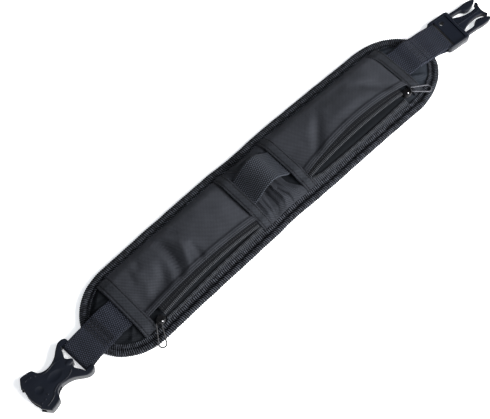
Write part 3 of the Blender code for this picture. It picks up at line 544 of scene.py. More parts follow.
def rib_material(name, colour, period, contrast, wear_and_glint=False):
    """Ribbed tape: cords across it, crossed by finer threads, coloured lighter on the cord tops and darker in
    the gaps (painted highlight and shade); the patchy kind is also bright in random patches on the cord tops,
    a painted sparkle of light.
    """
    s = Shader(name, 0.75, gloss=0.06)
    u, v = s.place()
    cords = s.ramp(s.wave(u, period, math.pi / 2), 0.42, 0.92)
    height = s.maths("MULTIPLY", cords, s.maths("MULTIPLY_ADD", s.wave(v, 1.1 * MM), 0.45, 0.55))
    # Random bright patches on the cord tops: a painted sparkle of light.
    if wear_and_glint:
        patches = s.ramp(s.noise(330, 2), 0.38, 0.66)
        tone = s.maths("MULTIPLY", height, s.maths("MULTIPLY_ADD", patches, 1.25, 0.55))
    else:
        tone = s.mottled(height, 0.85, 160, 4, 0.3)
    # Lighter on the cord tops and darker in the gaps between them: painted highlight and shade of the ribs,
    # with some random tone.
    s.dye(tone, colour, 1 - contrast, 1 + contrast * 3.4)
    return s.bumped(height, 0.15 * MM)


def webbing_material(name, colour):
    """Woven webbing: columns of slanted threads, each column half a pick on from the last."""
    column, pick = 1.7 * MM, 1.65 * MM
    s = Shader(name, 0.62, gloss=0.06)
    u, v = s.place()
    turned = s.maths("DIVIDE", v, column)
    middle = s.maths("ABSOLUTE", s.maths("SUBTRACT", s.maths("FRACT", turned), 0.5))
    half = s.maths("MULTIPLY", s.maths("PINGPONG", s.maths("FLOOR", turned), 1.0), math.pi)
    slanted = s.maths("MULTIPLY_ADD", middle, pick * 0.5, u)
    picks = s.ramp(s.wave(slanted, pick, half), 0.18, 0.72)
    groove = s.maths("SUBTRACT", 1.0, s.maths("POWER", s.maths("MULTIPLY", middle, 2.0), 3.0))
    height = s.maths("MULTIPLY", picks, groove)
    # The colour follows the weave's height, darker in the grooves between columns and picks and lighter on
    # the thread tops: painted shade and highlight, with a little random tone.
    s.dye(s.mottled(height, 0.9, 120, 3, 0.2), colour, 0.05, 2.5)
    return s.bumped(height, 0.30 * MM)


def knit_material(name, colour):
    """The pad's backing: small open knit in staggered rows."""
    s = Shader(name, 0.85, gloss=0.06)
    rows = [s.maths("MULTIPLY", *(s.wave(way, 2.4 * MM, phase) for way in s.place()))
            for phase in (0.0, math.pi)]
    height = s.maths("MAXIMUM", *rows)
    # The tone follows the knit's height, lighter on the loops and darker between them: partly painted shade
    # and highlight, partly random tone from the noise.
    s.dye(s.mottled(height, 0.6, 60, 3, 0.4), colour, 0.5, 1.4)
    return s.bumped(height, 0.3 * MM)


def thread_material(name, colour):
    s = Shader(name, 0.6, gloss=0.25)
    twist = s.noise(900, 2)
    s.dye(twist, colour, 0.6, 1.5)
    return s.bumped(twist, 0.06 * MM)


def metal_material(name, colour, wear_and_glint, roughness, metallic=0.9, gloss=0.3):
    """Coated metal with brighter patches: rubbed wear, and part of a painted highlight where the colours are
    painted light.
    """
    s = Shader(name, roughness, metallic, gloss)
    rub = s.noise(420, 4)
    s.set("Base Color", s.mix(s.maths("POWER", rub, 1.6), colour, wear_and_glint))
    s.set("Roughness", s.maths("MULTIPLY_ADD", rub, 0.22, roughness - 0.1))
    return s.bumped(rub, 0.03 * MM)


def plastic_material(name, colour):
    """Smooth moulded plastic with a faint orange peel and fine handling marks."""
    s = Shader(name, 0.3, gloss=0.14)
    haze = s.noise(90, 4)
    s.dye(haze, colour, 0.75, 1.3)
    s.set("Roughness", s.maths("MULTIPLY_ADD", haze, 0.20, 0.24))
    return s.bumped(s.noise(900, 2), 0.02 * MM)


# Length of a rib of the binding, and of a weft of the zip tapes
RIB = 1.7 * MM
WEFT = 1.6 * MM

fabric = twill_material("pad fabric", (0.0036, 0.0044, 0.0058), paler=(125 * MM, 150 * MM, 2.8))
panel = twill_material("pocket fabric", (0.0210, 0.0226, 0.0274), contrast=0.55)
middle_cloth = twill_material("middle fabric", (0.0125, 0.0137, 0.0170), contrast=0.9)
band_cloth = twill_material("band fabric", (0.0120, 0.0132, 0.0162), contrast=0.9)
# The binding tape takes the bright random patches: a painted sparkle of light on its ribs.
ribbed = rib_material("binding tape", (0.0094, 0.0104, 0.0130), RIB, 0.97, wear_and_glint=True)
zip_tape = rib_material("zip tape", (0.0034, 0.0038, 0.0048), WEFT, 0.5)
lower_tape = rib_material("lower zip tape", (0.0085, 0.0094, 0.0115), WEFT, 0.95)
webbing = webbing_material("webbing", (0.0102, 0.0117, 0.0168))
# The carry loop's webbing is the strap's webbing in a lighter colour, for the light the loop catches: painted
# light.
loop_webbing_painted_light = webbing_material("loop webbing painted lighter", (0.0168, 0.0188, 0.0235))
backing = knit_material("backing", (0.014, 0.015, 0.017))
thread = thread_material("thread", (0.0030, 0.0034, 0.0045))
strap_thread = thread_material("strap thread", (0.0190, 0.0215, 0.0290))
coil_nylon = thread_material("zip coil", (0.021, 0.023, 0.027))
slider_metal = metal_material("zip metal", (0.008, 0.008, 0.009), (0.040, 0.040, 0.043), 0.30)
# The right pull's wire gets lighter colours and more gloss than the left one's, for its brighter highlights:
# a painted highlight.
pull_metal = {
    "left": metal_material("pull wire", (0.010, 0.010, 0.011), (0.034, 0.034, 0.037), 0.34, 0.25, 0.12),
    "right": metal_material("right pull wire painted lighter", (0.020, 0.021, 0.025), (0.075, 0.078, 0.090), 0.30, 0.40, 0.22),
}
# Bright metal for small balls on the sliders' crowns, which stand in for the sliders' highlights: a painted
# highlight.
highlight_crown_metal = metal_material("crown painted highlight", (0.45, 0.45, 0.47), (0.85, 0.85, 0.87), 0.22)
plastic = plastic_material("buckle plastic", (0.0042, 0.0054, 0.0090))


def finish_piece(obj, body, slot, *nodes):
    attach(obj, body)
    if nodes:
        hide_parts(*nodes)
    return obj


# Pad and binding

def end_relief(x, t):
    """Folds of the pad's own fabric beside the straps."""
    height = 0.0
    for (x0, t0), (x1, t1), width, rise in END_FOLDS:
        start, run = np.array([x0, t0]) * MM, np.array([x1 - x0, t1 - t0]) * MM
        share = np.clip(((x - start[0]) * run[0] + (t - start[1]) * run[1]) / (run @ run), -0.1, 1.1)
        distance = np.hypot(x - start[0] - share * run[0], t - start[1] - share * run[1])
        height = height + rise * MM * bump(distance, width * MM)
    beyond = smooth((np.abs(x) - 148 * MM) / (3 * MM))
    return (height + waves(x, t, 3, 3, 4, 0.12)) * beyond


def build_pad():
    points, normals, _, _ = outline(460)
    spine = np.stack([np.clip(points[:, 0], -SOCKET_END, PLUG_END), 0 * points[:, 0]], -1)
    rings, places = [], []

    def ring(inset, height, share=0.0, relief=False):
        place = blend(points - normals * inset, spine, share)
        z = np.full(len(place), height)
        if relief:
            room = smooth((inset + share * 20 * MM - BINDING_WIDTH) / (2 * MM))
            z = z + end_relief(place[:, 0], place[:, 1]) * room
        rings.append(bent(place[:, 0], place[:, 1], z))
        places.append(place)

    for share in np.linspace(0.94, 0.06, 20):
        ring(FLAT_INSET, PAD_THICKNESS, share, True)
    for inset in np.linspace(FLAT_INSET, BINDING_WIDTH, 9):
        ring(inset, float(top_height(inset)), 0, True)
    for inset, height in ((6.4, 3.6), (4.6, 3.4), (2.4, 3.4), (1.5, 2.9), (1.5, 2.2), (2.4, 1.4), (7.8, 1.4)):
        ring(inset * MM, height * MM)
    for share in (0, 0.25, 0.5, 0.75, 1):
        inset = BINDING_WIDTH + CLEARANCE + share * 2.5 * MM
        ring(inset, (BINDING_TAPE + CLEARANCE) * (1 - float(smooth(share))))
    obj = loft("pad_cover", np.array(rings), fabric, np.array(places))
    obj.data.materials.append(backing)
    for face in obj.data.polygons:
        if face.normal.z < -0.3:
            face.material_index = 1
    finish_piece(obj, "pad", "pad_fabric", "pad")


# Binding: the seam's distance from the edge, and how many points of the section lie on its upper side
SEAM_INSET = 5.5 * MM
UPPER_POINTS = 15


def binding_profile():
    """Insets and heights round the tape's section, and how far the ribs stand out at each point."""
    height = EDGE_TOP + CLEARANCE + BINDING_TAPE
    upper = np.concatenate([[8.5], np.linspace(8.3, 1.6, UPPER_POINTS - 1)]) * MM
    section = [(inset, float(top_height(inset)) + CLEARANCE + BINDING_TAPE, 1.0) for inset in upper]
    section[0] = (section[0][0], section[0][1] - 0.55 * MM, 0.3)
    for angle in np.radians(np.arange(15, 170, 22)):
        section.append((1.6 * MM * (1 - math.sin(angle)), height / 2 * (1 + math.cos(angle)), 1.0))
    inner = ((1.6, 0.0, 0.2), (5.0, 0.0, 0.2), (8.4, 0.0, 0.0), (8.4, 0.9, 0.0), (2.0, 1.0, 0.0),
             (1.2, 3.2, 0.0), (3.0, 3.7, 0.0), (6.5, 3.9, 0.0))
    section += [(inset * MM, level * MM, rib) for inset, level, rib in inner]
    section.append((BINDING_WIDTH, float(top_height(BINDING_WIDTH)) + 0.2 * MM, 0.0))
    return np.array(section)


def seam_shape(inset, zip_side, wander):
    """Height of the tape's quilted top: two ridges with the stitched furrow between them."""
    depth = blend(1.0, 1.6, zip_side) * MM * (1 + 0.35 * wander)
    return (-depth * bump(inset - SEAM_INSET - 0.40 * MM * wander, blend(0.9, 1.25, zip_side) * MM)
            + 0.40 * MM * bump(inset - 2.9 * MM, 1.1 * MM) + 0.40 * MM * bump(inset - 7.5 * MM, 0.7 * MM))


def build_binding():
    points, normals, distance, whole = outline(int(outline(800)[3] / RIB) * 4)
    section = binding_profile()
    inset, height, rib = section.T
    run = closed_run(section[:, :2])
    out = np.stack([-run[:, 1], run[:, 0]], -1)
    if out[UPPER_POINTS // 2 + 1, 1] < 0:
        out = -out
    d, still = distance[:, None], 0 * inset
    zip_side = smooth(0.5 - points[:, 1:] / (30 * MM))
    phase = 2 * math.pi * (d / (whole / round(whole / RIB)) + inset * 0.22 / RIB)
    push = (0.32 * MM * np.cos(phase) - 0.10 * MM) * rib
    pucker = waves(d, inset, 6, 9, 7, 0.14) + waves(d, still, 16, 1, 8, 0.12)
    upper = (np.arange(len(section)) < UPPER_POINTS) * 1.0
    seam = seam_shape(inset, zip_side, ripple(d / (3.6 * MM), still, 11))
    lift = (seam + pucker * bump(inset - 6 * MM, 3 * MM)) * upper
    drawn = waves(d, still, 4, 1, 9, 0.20) * smooth((inset - 5 * MM) / (3 * MM)) * upper
    drawn = drawn + waves(d, still, 3.4, 1, 10, 0.16) * smooth((4 * MM - inset) / (3 * MM)) * (rib > 0.15)
    z = np.maximum(height + push * out[:, 1] + lift, 0.0)
    place = points[:, None] - normals[:, None] * (inset + push * out[:, 0] + drawn)[..., None]
    u, v = np.broadcast_arrays(phase * RIB / (2 * math.pi), distances(section[:, :2]))
    obj = loft("edge_tape", bent(place[..., 0], place[..., 1], z), ribbed, np.stack([u, v], -1), True, 70)
    finish_piece(obj, "pad", "binding_tape", "edge_binding")


# Panels of the pockets and the middle

def crease_relief(key, along, across, length, width):
    """Height of the panel's creases, each a bent line with a rounded section."""
    height = 0.0
    x, y = along * length, across * width
    scale = np.array([length, width])
    for first, bend, last, reach, rise in CREASES[key]:
        a, b, c = (np.array(p) * scale for p in (first, bend, last))
        best = np.full(np.shape(x), np.inf)
        fade = np.zeros(np.shape(x))
        for share in np.linspace(0, 1, 15):
            point = (1 - share) ** 2 * a + 2 * share * (1 - share) * b + share ** 2 * c
            away = np.hypot(x - point[0], y - point[1])
            strength = math.sin(math.pi * (0.12 + 0.76 * share)) ** 0.6
            fade = np.where(away < best, strength, fade)
            best = np.minimum(best, away)
        height = height + rise * MM * fade * bump(best, reach * MM)
    return height


def pocket_span(key):
    first, second = POCKETS[key]["bands"]
    return band_edges(first)[1] - TUCK, band_edges(second)[0] + TUCK


def pocket_share(key, x):
    left, right = pocket_span(key)
    return np.clip((x - left) / (right - left), 0.0, 1.0)


def pocket_edge(key, x):
    row, share = POCKETS[key], pocket_share(key, x)
    return (blend(*row["edge"], share) + row["drawn_back"] * arch(share)) * PAD_WIDTH / 2


def zip_seam(key, x):
    return blend(*POCKETS[key]["seam"], pocket_share(key, x)) * PAD_WIDTH / 2


def upper_tip(key, x):
    """Edge of the zip's upper half."""
    drawn = POCKETS[key]["part"] * arch(pocket_share(key, x), 0.5) * PAD_WIDTH / 2
    return zip_seam(key, x) + drawn + ZIP_PART / 2


def lower_tip(key, x):
    """Edge of the zip's lower half."""
    row, share = POCKETS[key], pocket_share(key, x)
    spread = row["spread"] * bump(share - row["spread_middle"], row["spread_reach"])
    spread = spread * smooth(share / 0.1) * smooth((1 - share) / 0.1)
    return zip_seam(key, x) - spread * PAD_WIDTH / 2 - ZIP_PART / 2


def lip_height(key, x):
    row = POCKETS[key]
    return POCKET_RISE * row["lip"] * arch(pocket_share(key, x), row["crown"])


def panel_rise(key, x, t):
    """Height of the panel's inner face over its seat, without creases."""
    near, far = pocket_edge(key, x), inner_edge(x)
    across = np.clip((t - near) / (far - near), 0.0, 1.0)
    shape = np.maximum(1 - across ** 2.2, 0.0) ** 0.85
    tape_room = (ZIP_TAPE + CLEARANCE) * smooth((near + ZIP_TUCK + 4 * MM - t) / (3 * MM))
    return tape_room + lip_height(key, x) * shape


def build_pocket(key):
    left, right = pocket_span(key)
    x = np.linspace(left, right, 170)[:, None]
    near, far = pocket_edge(key, x), inner_edge(x) + 0.3 * MM
    shares = np.concatenate([np.linspace(0, 0.12, 14), np.linspace(0.12, 1, 58)[1:]])[None, :]
    t = blend(near, far, shares)
    width = float((far - near).mean())
    along, from_edge = pocket_share(key, x), t - near
    inside = arch(along, 0.5) * arch(np.clip(shares, 0.02, 1) ** 0.6, 0.5)
    relief = crease_relief(key, along, shares, right - left, width) * smooth(from_edge / (7 * MM))
    fine = waves(x, t, 5, 4, 21, 0.16) + waves(x, t, 2.2, 2.6, 22, 0.06)
    relief = relief + fine * smooth(from_edge / (4 * MM))
    pull = waves(x, t, 4, 1.4, 23, 0.16) * np.exp(-np.minimum(x - left, right - x) / (5 * MM))
    hem = 0.15 * MM * (1 - smooth((from_edge - 2.4 * MM) / (0.8 * MM)))
    groove = -0.45 * MM * bump(from_edge - HEM_STITCHES, 0.38 * MM)
    groove = groove - 0.35 * MM * bump(from_edge - 2.9 * MM, 0.5 * MM)
    plain = panel_rise(key, x, t)
    rise = plain + np.maximum(relief * np.minimum(inside * 1.6, 1.0), -plain) + pull
    top = bent(x, t, seat(x, t) + rise + FABRIC + hem + groove)
    obj = sheet("pocket_panel_" + key, top, blend(0.55 * MM, FABRIC, smooth(from_edge / (3 * MM))), panel)
    finish_piece(obj, "pad", "pocket_fabric", "pocket_" + key)
    line = [read(*row) for row in zip(top, np.repeat(shares, len(x), 0), HEM_STITCHES / (far - near)[:, 0])]
    panel_stitches.run(line, grid_normals(top)[:, 2], 2.3 * MM)


def build_centre_panel():
    left, right = band_edges("band_left_middle")[1] - TUCK, band_edges("band_right_middle")[0] + TUCK
    along = np.linspace(0, 1, 90)[:, None]
    across = np.linspace(0, 1, 130)[None, :]
    # The zip side of the cloth is gathered away from the right band, where the pad's dark fabric shows: it
    # stands in for the shade in the hollow under the loop, a painted shade.
    opening = 7.5 * MM * smooth((across - 0.03) / 0.30) * smooth((0.47 - across) / 0.07)
    x = blend(left, right - opening, along)
    edge = inner_edge(x) + TUCK
    t = blend(-edge, edge, across)
    width = float(2 * edge.mean())
    relief = crease_relief("centre", along, across, right - left, width)
    fine = waves(x, t, 2.6, 3.2, 31, 0.22) + waves(x, t, 1.4, 1.8, 32, 0.08)
    gather = np.abs(waves(x, 0 * t, 0.9, 1, 33, 0.7)) * np.exp(-np.minimum(t + edge, edge - t) / (3.5 * MM))
    rise = np.maximum(2.9 * MM + relief + fine, 0.2 * MM) * arch(along, 0.55) * arch(across, 0.35)
    loop_room = top_height(FLAT_INSET) + CLEARANCE + FABRIC + LOOP_RISE
    z = np.minimum(seat(x, t) + FABRIC + rise + gather * arch(along, 0.3), loop_room)
    obj = sheet("centre_cloth", bent(x, t, z), FABRIC, middle_cloth)
    finish_piece(obj, "pad", "pocket_fabric", "centre_panel")


# Bands, straps and carry loop

def passage(passed):
    """Middle, half width and height of the webbing that passes under a band."""
    if passed == "carry_loop":
        return LOOP_OFFSET, WEBBING_WIDTH / 2, FABRIC + CLEARANCE + WEBBING + CLEARANCE
    return STRAPS[passed][1], WEBBING_WIDTH / 2, WEBBING + CLEARANCE


def build_band(name):
    left, right = band_edges(name)
    across = np.linspace(0, 1, 26)[None, :]
    edge = inner_edge(np.linspace(left, right, 2)).min() + 0.9 * MM
    t = np.linspace(-edge, edge, 150)[:, None]
    flare = {"band_right_end": -2.6 * MM * smooth((t - 12 * MM) / (16 * MM)), "band_left_end": -1.5 * MM}
    flare = 0 * t + flare.get(name, 0.0)
    x = blend(left + flare, right, across)
    middle, reach, height = passage(BANDS[name][2])
    lift = smooth((reach + CLEARANCE + BAND_SLOPE - np.abs(t - middle)) / BAND_SLOPE)
    from_side = np.minimum(across, 1 - across) * (right - left)
    edges = -0.70 * MM * bump(from_side - BAND_STITCHES, 0.42 * MM) - 0.2 * MM * bump(from_side, 0.3 * MM)
    surface = seat(x, t) + blend(BAND_THICKNESS, height + BAND_COVER, lift) + waves(t, x, 5, 5, 41, 0.12)
    top = bent(x, t, surface + edges + 0.45 * MM * arch(across, 0.6))
    obj = sheet(name + "_cloth", top, blend(BAND_THICKNESS, BAND_COVER, lift) - 0.1 * MM, band_cloth)
    finish_piece(obj, "pad", "pocket_fabric", name)
    offset = BAND_STITCHES / (right - left)
    for column in (offset, 1 - offset):
        path = bent(blend(left + flare, right, column), t, 0)[:, 0]
        path[:, 2] = [np.interp(column, across[0], row[:, 2]) for row in top]
        panel_stitches.run(path, np.tile([0, 0, 1], (len(path), 1)), 2.2 * MM)


def webbing_strip(name, path, place, node, seed, cloth):
    """A flat strip of webbing along a path of (distance, height): rounded selvedges and a slight wave."""
    steps = distances(path)
    s, z = read(path, steps, np.linspace(0, steps[-1], int(steps[-1] / (0.7 * MM)))).T
    fine = np.linspace(0, steps[-1], len(s))
    run = unit(np.stack([np.gradient(s), np.gradient(z)], -1))
    half = WEBBING_WIDTH / 2 - 0.35 * MM
    across = np.linspace(-half, half, 40)[None, :]
    lift = WEBBING / 2 - 0.10 * MM * (across / half) ** 8 + waves(fine[:, None], across, 7, 9, seed, 0.06)
    top = place(s[:, None] - run[:, 1:] * lift, across, z[:, None] + run[:, :1] * lift)
    finish_piece(sheet(name, top, WEBBING - 0.05 * MM, cloth, rim=5), "pad", "webbing", node)
    return top


def build_loop():
    left, right = band_edges("band_left_middle")[1], band_edges("band_right_middle")[0]
    x = np.linspace(band_edges("band_left_middle")[0] + CLEARANCE,
                    band_edges("band_right_middle")[1] - CLEARANCE, 160)
    rise = LOOP_RISE * arch(np.clip((x - left) / (right - left), 0.0, 1.0), 1.4)
    z = top_height(FLAT_INSET) + 2 * CLEARANCE + FABRIC + rise + WEBBING / 2

    def place(s, side, z):
        return bent(s, LOOP_OFFSET + side, z)

    # Lighter webbing for the light the loop catches: painted light.
    webbing_strip("carry_loop_webbing", np.stack([x, z], -1), place, "carry_loop", 51, loop_webbing_painted_light)


def strap_path(name):
    """Middle line of the folded webbing: out over the pad's end, round the bar and back under itself."""
    band, _, heading, reach, swing = STRAPS[name]
    edge = HALF_LENGTH - abs(BANDS[band][0]) * HALF_LENGTH
    length = edge + reach * WEBBING_WIDTH
    axis = joint(swing)["pos_m"][2]
    turn = BAR_DIAMETER / 2 + CLEARANCE + WEBBING / 2
    over_edge = edge - BINDING_TAPE
    layer = WEBBING + CLEARANCE

    def rest(s):
        inset = edge - s
        on_pad = top_height(inset) + CLEARANCE
        on_tape = top_height(inset) + BINDING_TAPE + 2 * CLEARANCE
        return blend(on_pad, on_tape, smooth((BINDING_WIDTH + 3 * MM - inset) / (3 * MM)))

    def lower(s):
        drop = smooth((s - over_edge) / (length - over_edge - CLEARANCE))
        return blend(rest(np.minimum(s, over_edge)) + WEBBING / 2, axis - turn, drop)

    def upper(s):
        doubled = smooth((s - (length - STRAP_RETURN - 8 * MM)) / (7 * MM))
        level = rest(np.minimum(s, over_edge)) + WEBBING / 2 + layer * doubled
        return blend(level, axis + turn, smooth((s - over_edge) / (length - over_edge)))

    start = abs(math.tan(math.radians(heading))) * WEBBING_WIDTH / 2 + CLEARANCE - BANDS[band][1] / 2
    out = np.linspace(start, length, 120)
    angles = math.pi * (0.5 - np.linspace(0, 1, 24)[1:-1])
    back = np.linspace(length, length - STRAP_RETURN, 90)
    path = [np.stack([out, upper(out)], -1),
            np.stack([length + turn * np.cos(angles), axis + turn * np.sin(angles)], -1),
            np.stack([back, lower(back)], -1)]
    return np.concatenate(path)


def joint(name):
    return next(j for j in frame["joints"] if j["name"] == name)


def build_strap(name):
    band, offset, heading, _, _ = STRAPS[name]
    angle = math.radians(heading)
    along = np.array([math.cos(angle), math.sin(angle)])
    across = np.array([-math.sin(angle), math.cos(angle)])
    x = BANDS[band][0] * HALF_LENGTH
    start = np.array([x, offset + bow(x)])

    def place(s, side, z):
        s, side, z = np.broadcast_arrays(s, side, z)
        plan = start + s[..., None] * along + side[..., None] * across
        return np.concatenate([plan, z[..., None]], -1)

    top = webbing_strip(name + "_webbing", strap_path(name), place, name, 52, webbing)
    # Dense box of stitches that holds the fold
    ups = grid_normals(top)
    columns = np.linspace(2, 37, 24).astype(int)
    from_band = np.linalg.norm(top[:, 20, :2] - start, axis=1)
    first, last = STITCH_BOXES[name]
    outward = np.arange(len(top)) < len(top) * 0.55
    rows = np.where((from_band > first) & (from_band < last) & outward)[0]
    for share in np.linspace(0, 1, 8):
        row = rows[int(share * (len(rows) - 1))]
        up = ups[row, columns]
        strap_stitches[name].run(top[row, columns] + up * 0.12 * MM, up, 1.5 * MM, 0.7)


# Zips

# One loop of the coil: how far in from the tape's edge and how high each point lies, in millimetres
COIL_LOOP = ((1.9, 0.30), (1.0, 0.42), (0.1, 0.34), (-0.35, -0.15), (0.1, -0.62), (1.0, -0.72), (1.9, -0.60))
COIL_PITCH = 1.3 * MM
COIL_RADIUS = 0.36 * MM
COIL_SLANT = 0.32 * MM


def tape_grid(key, columns, x, upper):
    """The top face of one half of a zip's tape."""
    shares = np.linspace(0, 1, columns)[None, :]
    if upper:
        near = pocket_edge(key, x)
        t = blend(upper_tip(key, x), near + ZIP_TUCK, shares)
        droop = ZIP_DROOP * np.maximum(near - t, 0) * smooth(lip_height(key, x) / (3 * MM))
        z = seat(x, t) + panel_rise(key, x, np.maximum(t, near)) - CLEARANCE - droop
        return bent(x, t, z + waves(x, t, 7, 3, 61, 0.12))
    t = blend(-inner_edge(x) - TUCK, lower_tip(key, x), shares)
    return bent(x, t, seat(x, t) + ZIP_TAPE + waves(x, t, 6, 3, 62, 0.10))


def build_coil(name, edge, inward, up):
    """The zip's coil: a slanted loop of nylon round the tape's edge every pitch."""
    along = distances(edge)
    turns = [math.pi * k / 3 for k in range(6)]
    last = len(COIL_LOOP) - 1
    vertices, faces = [], []
    for k in range(int(along[-1] / COIL_PITCH)):
        origin, into, lift = (read(table, along, (k + 0.5) * COIL_PITCH) for table in (edge, inward, up))
        run = np.cross(into, lift)
        path = [origin + into * a * MM + lift * b * MM + run * (COIL_SLANT * (n / last - 0.5))
                for n, (a, b) in enumerate(COIL_LOOP)]
        faces += tube_faces(len(vertices), len(path), 6)
        for n, point in enumerate(path):
            ahead = unit(path[min(n + 1, last)] - path[max(n - 1, 0)])
            side = unit(np.cross(ahead, run))
            other = np.cross(ahead, side)
            vertices += [point + (side * math.cos(a) + other * math.sin(a)) * COIL_RADIUS for a in turns]
    finish_piece(mesh_object(name, vertices, faces, coil_nylon, sharp=80), "pad", "zip_tape")


def build_zip(key):
    low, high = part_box("zip_lower_" + key)
    x = np.linspace(low.x, high.x, 120)[:, None]
    halves = (("upper", 34, zip_tape, 0, 3), ("lower", 22, lower_tape, -1, -4))
    for half, columns, cloth, tip, inner in halves:
        top = tape_grid(key, columns, x, half == "upper")
        obj = sheet(f"zip_tape_{half}_{key}", top, 0.7 * MM, cloth)
        finish_piece(obj, "pad", "zip_tape", f"zip_{half}_{key}")
        inward = unit(top[:, inner] - top[:, tip])
        up = unit(np.cross(np.gradient(top[:, tip], axis=0), inward))
        if up[:, 2].mean() < 0:
            up = -up
        build_coil(f"zip_coil_{half}_{key}", top[:, tip] + up * 0.1 * MM, inward, up)
        if half == "upper":
            panel_stitches.run(top[:, int(columns * 0.45)] + up * 0.05 * MM, up, 2.0 * MM)


# Building hard pieces

def rounded_plate(name, points, bottom, top, radius, material, segments=3):
    """Extrudes a plan outline and rounds its upper and lower edges."""
    work = bmesh.new()
    face = work.faces.new([work.verts.new((x, y, bottom)) for x, y in points])
    lifted = bmesh.ops.extrude_face_region(work, geom=[face])["geom"]
    new_points = [item for item in lifted if isinstance(item, bmesh.types.BMVert)]
    bmesh.ops.translate(work, verts=new_points, vec=(0, 0, top - bottom))
    bmesh.ops.recalc_face_normals(work, faces=work.faces)
    if radius:
        flat = [e for e in work.edges if abs(e.verts[0].co.z - e.verts[1].co.z) < 1e-7]
        bmesh.ops.bevel(work, geom=flat, offset=radius, segments=segments, profile=0.5, affect="EDGES",
                        clamp_overlap=True)
    return soften(add_solid(name, work, material))


def ball(name, centre, radii, material):
    work = bmesh.new()
    bmesh.ops.create_uvsphere(work, u_segments=40, v_segments=22, radius=1)
    place = Matrix.Translation(centre) @ Matrix.Diagonal((*radii, 1))
    bmesh.ops.transform(work, matrix=place, verts=work.verts)
    return add_solid(name, work, material)


def rod(name, radius, length, axis, centre, material, sides=40):
    work = bmesh.new()
    bmesh.ops.create_cone(work, cap_ends=True, segments=sides, radius1=radius, radius2=radius, depth=length)
    turn = Matrix.Rotation(math.pi / 2, 4, "X") if axis == "Y" else Matrix.Identity(4)
    bmesh.ops.transform(work, matrix=Matrix.Translation(centre) @ turn, verts=work.verts)
    return add_solid(name, work, material)


def combine(base, tools, operation):
    """Cuts or joins the tools with base, for good, and deletes them."""
    for tool in tools:
        modifier = base.modifiers.new(tool.name, "BOOLEAN")
        modifier.operation = operation
        modifier.solver = "EXACT"
        modifier.object = tool
    bpy.context.view_layer.update()
    evaluated = base.evaluated_get(bpy.context.evaluated_depsgraph_get())
    made = bpy.data.meshes.new_from_object(evaluated)
    base.modifiers.clear()
    base.data = made
    for tool in tools:
        bpy.data.objects.remove(tool, do_unlink=True)
    return base


def merge(base, others):
    """Adds the others' meshes to base as shells of their own, and deletes them."""
    work = bmesh.new()
    for obj in (base, *others):
        work.from_mesh(obj.data)
    work.to_mesh(base.data)
    work.free()
    for obj in others:
        bpy.data.objects.remove(obj, do_unlink=True)
    return base


def through_points(points, steps):
    """A smooth line through points, a cubic between each two of them."""
    points = np.asarray(points, float)
    last = len(points) - 1
    line = []
    for k in range(last):
        before, start, end, after = (points[min(max(k + n, 0), last)] for n in (-1, 0, 1, 2))
        for share in np.linspace(0, 1, steps, endpoint=False):
            line.append(0.5 * (2 * start + (end - before) * share
                               + (2 * before - 5 * start + 4 * end - after) * share ** 2
                               + (3 * start - before - 3 * end + after) * share ** 3))
    return np.array(line + [points[-1]])


def tube(name, path, radius, material, sides=8):
    """A round bead along a path of points."""
    ahead = unit(np.gradient(path, axis=0))
    side = np.cross(ahead, [0, 0, 1.0])
    turns = np.linspace(0, 2 * math.pi, sides, endpoint=False)[None, :, None]
    ring = side[:, None] * np.cos(turns) + np.cross(side, ahead)[:, None] * np.sin(turns)
    return loft(name, path[:, None] + ring * radius, material, sharp=80)


def mirrored(half):
    half = [tuple(p) for p in half]
    return half + [(x, -y) for x, y in reversed(half) if y > 1e-6]


def rectangle(x0, x1, y0, y1):
    return [(x0, y0), (x1, y0), (x1, y1), (x0, y1)]


def plan_matrix(point, heading):
    return Matrix.Translation(point) @ Matrix.Rotation(heading, 4, "Z")


def joint_frame(name):
    """A hinge's own frame: X away from the pad, Y along the bar and against the joint's axis."""
    row = joint(name)
    axis = row["axis"]
    return plan_matrix(row["pos_m"], math.atan2(axis[0], -axis[1]))


# Sliders and pulls, the slider's outline in shares of half its length and width

SLIDER_HEADINGS = {"left": 205.0, "right": -11.0}
SLIDER_LENGTH = 7.6 * MM
SLIDER_WIDTH = 6.2 * MM
SLIDER_PLATE = 0.8 * MM
SLIDER_GAP = 1.3 * MM
SLIDER_OUTLINE = ((-1.0, 0.70), (-0.45, 0.98), (0.30, 0.96), (0.84, 0.66), (1.0, 0.34), (1.0, 0.0))
# Where a bright ball sits on each slider, from its hinge, and the ball's radii: a painted highlight on the
# slider's crown.
SLIDER_DOMES = {"left": (3.15 * MM, -0.45 * MM, -0.55 * MM), "right": (-3.9 * MM, -0.5 * MM, -0.55 * MM)}
DOME_RADII = (0.75 * MM, 0.75 * MM, 0.85 * MM)
BAIL_LENGTH = 3.2 * MM
BAIL_OPENING = 2.0 * MM
BAIL_OVERHANG = 1.2 * MM
PULL_LENGTH = 18.5 * MM
PULL_DIPS = {"left": 19.0, "right": 15.0}
PULL_WIRE = 1.15 * MM
# The wire is thinner where it passes through the bail
PULL_WIRE_THIN = 0.9 * MM


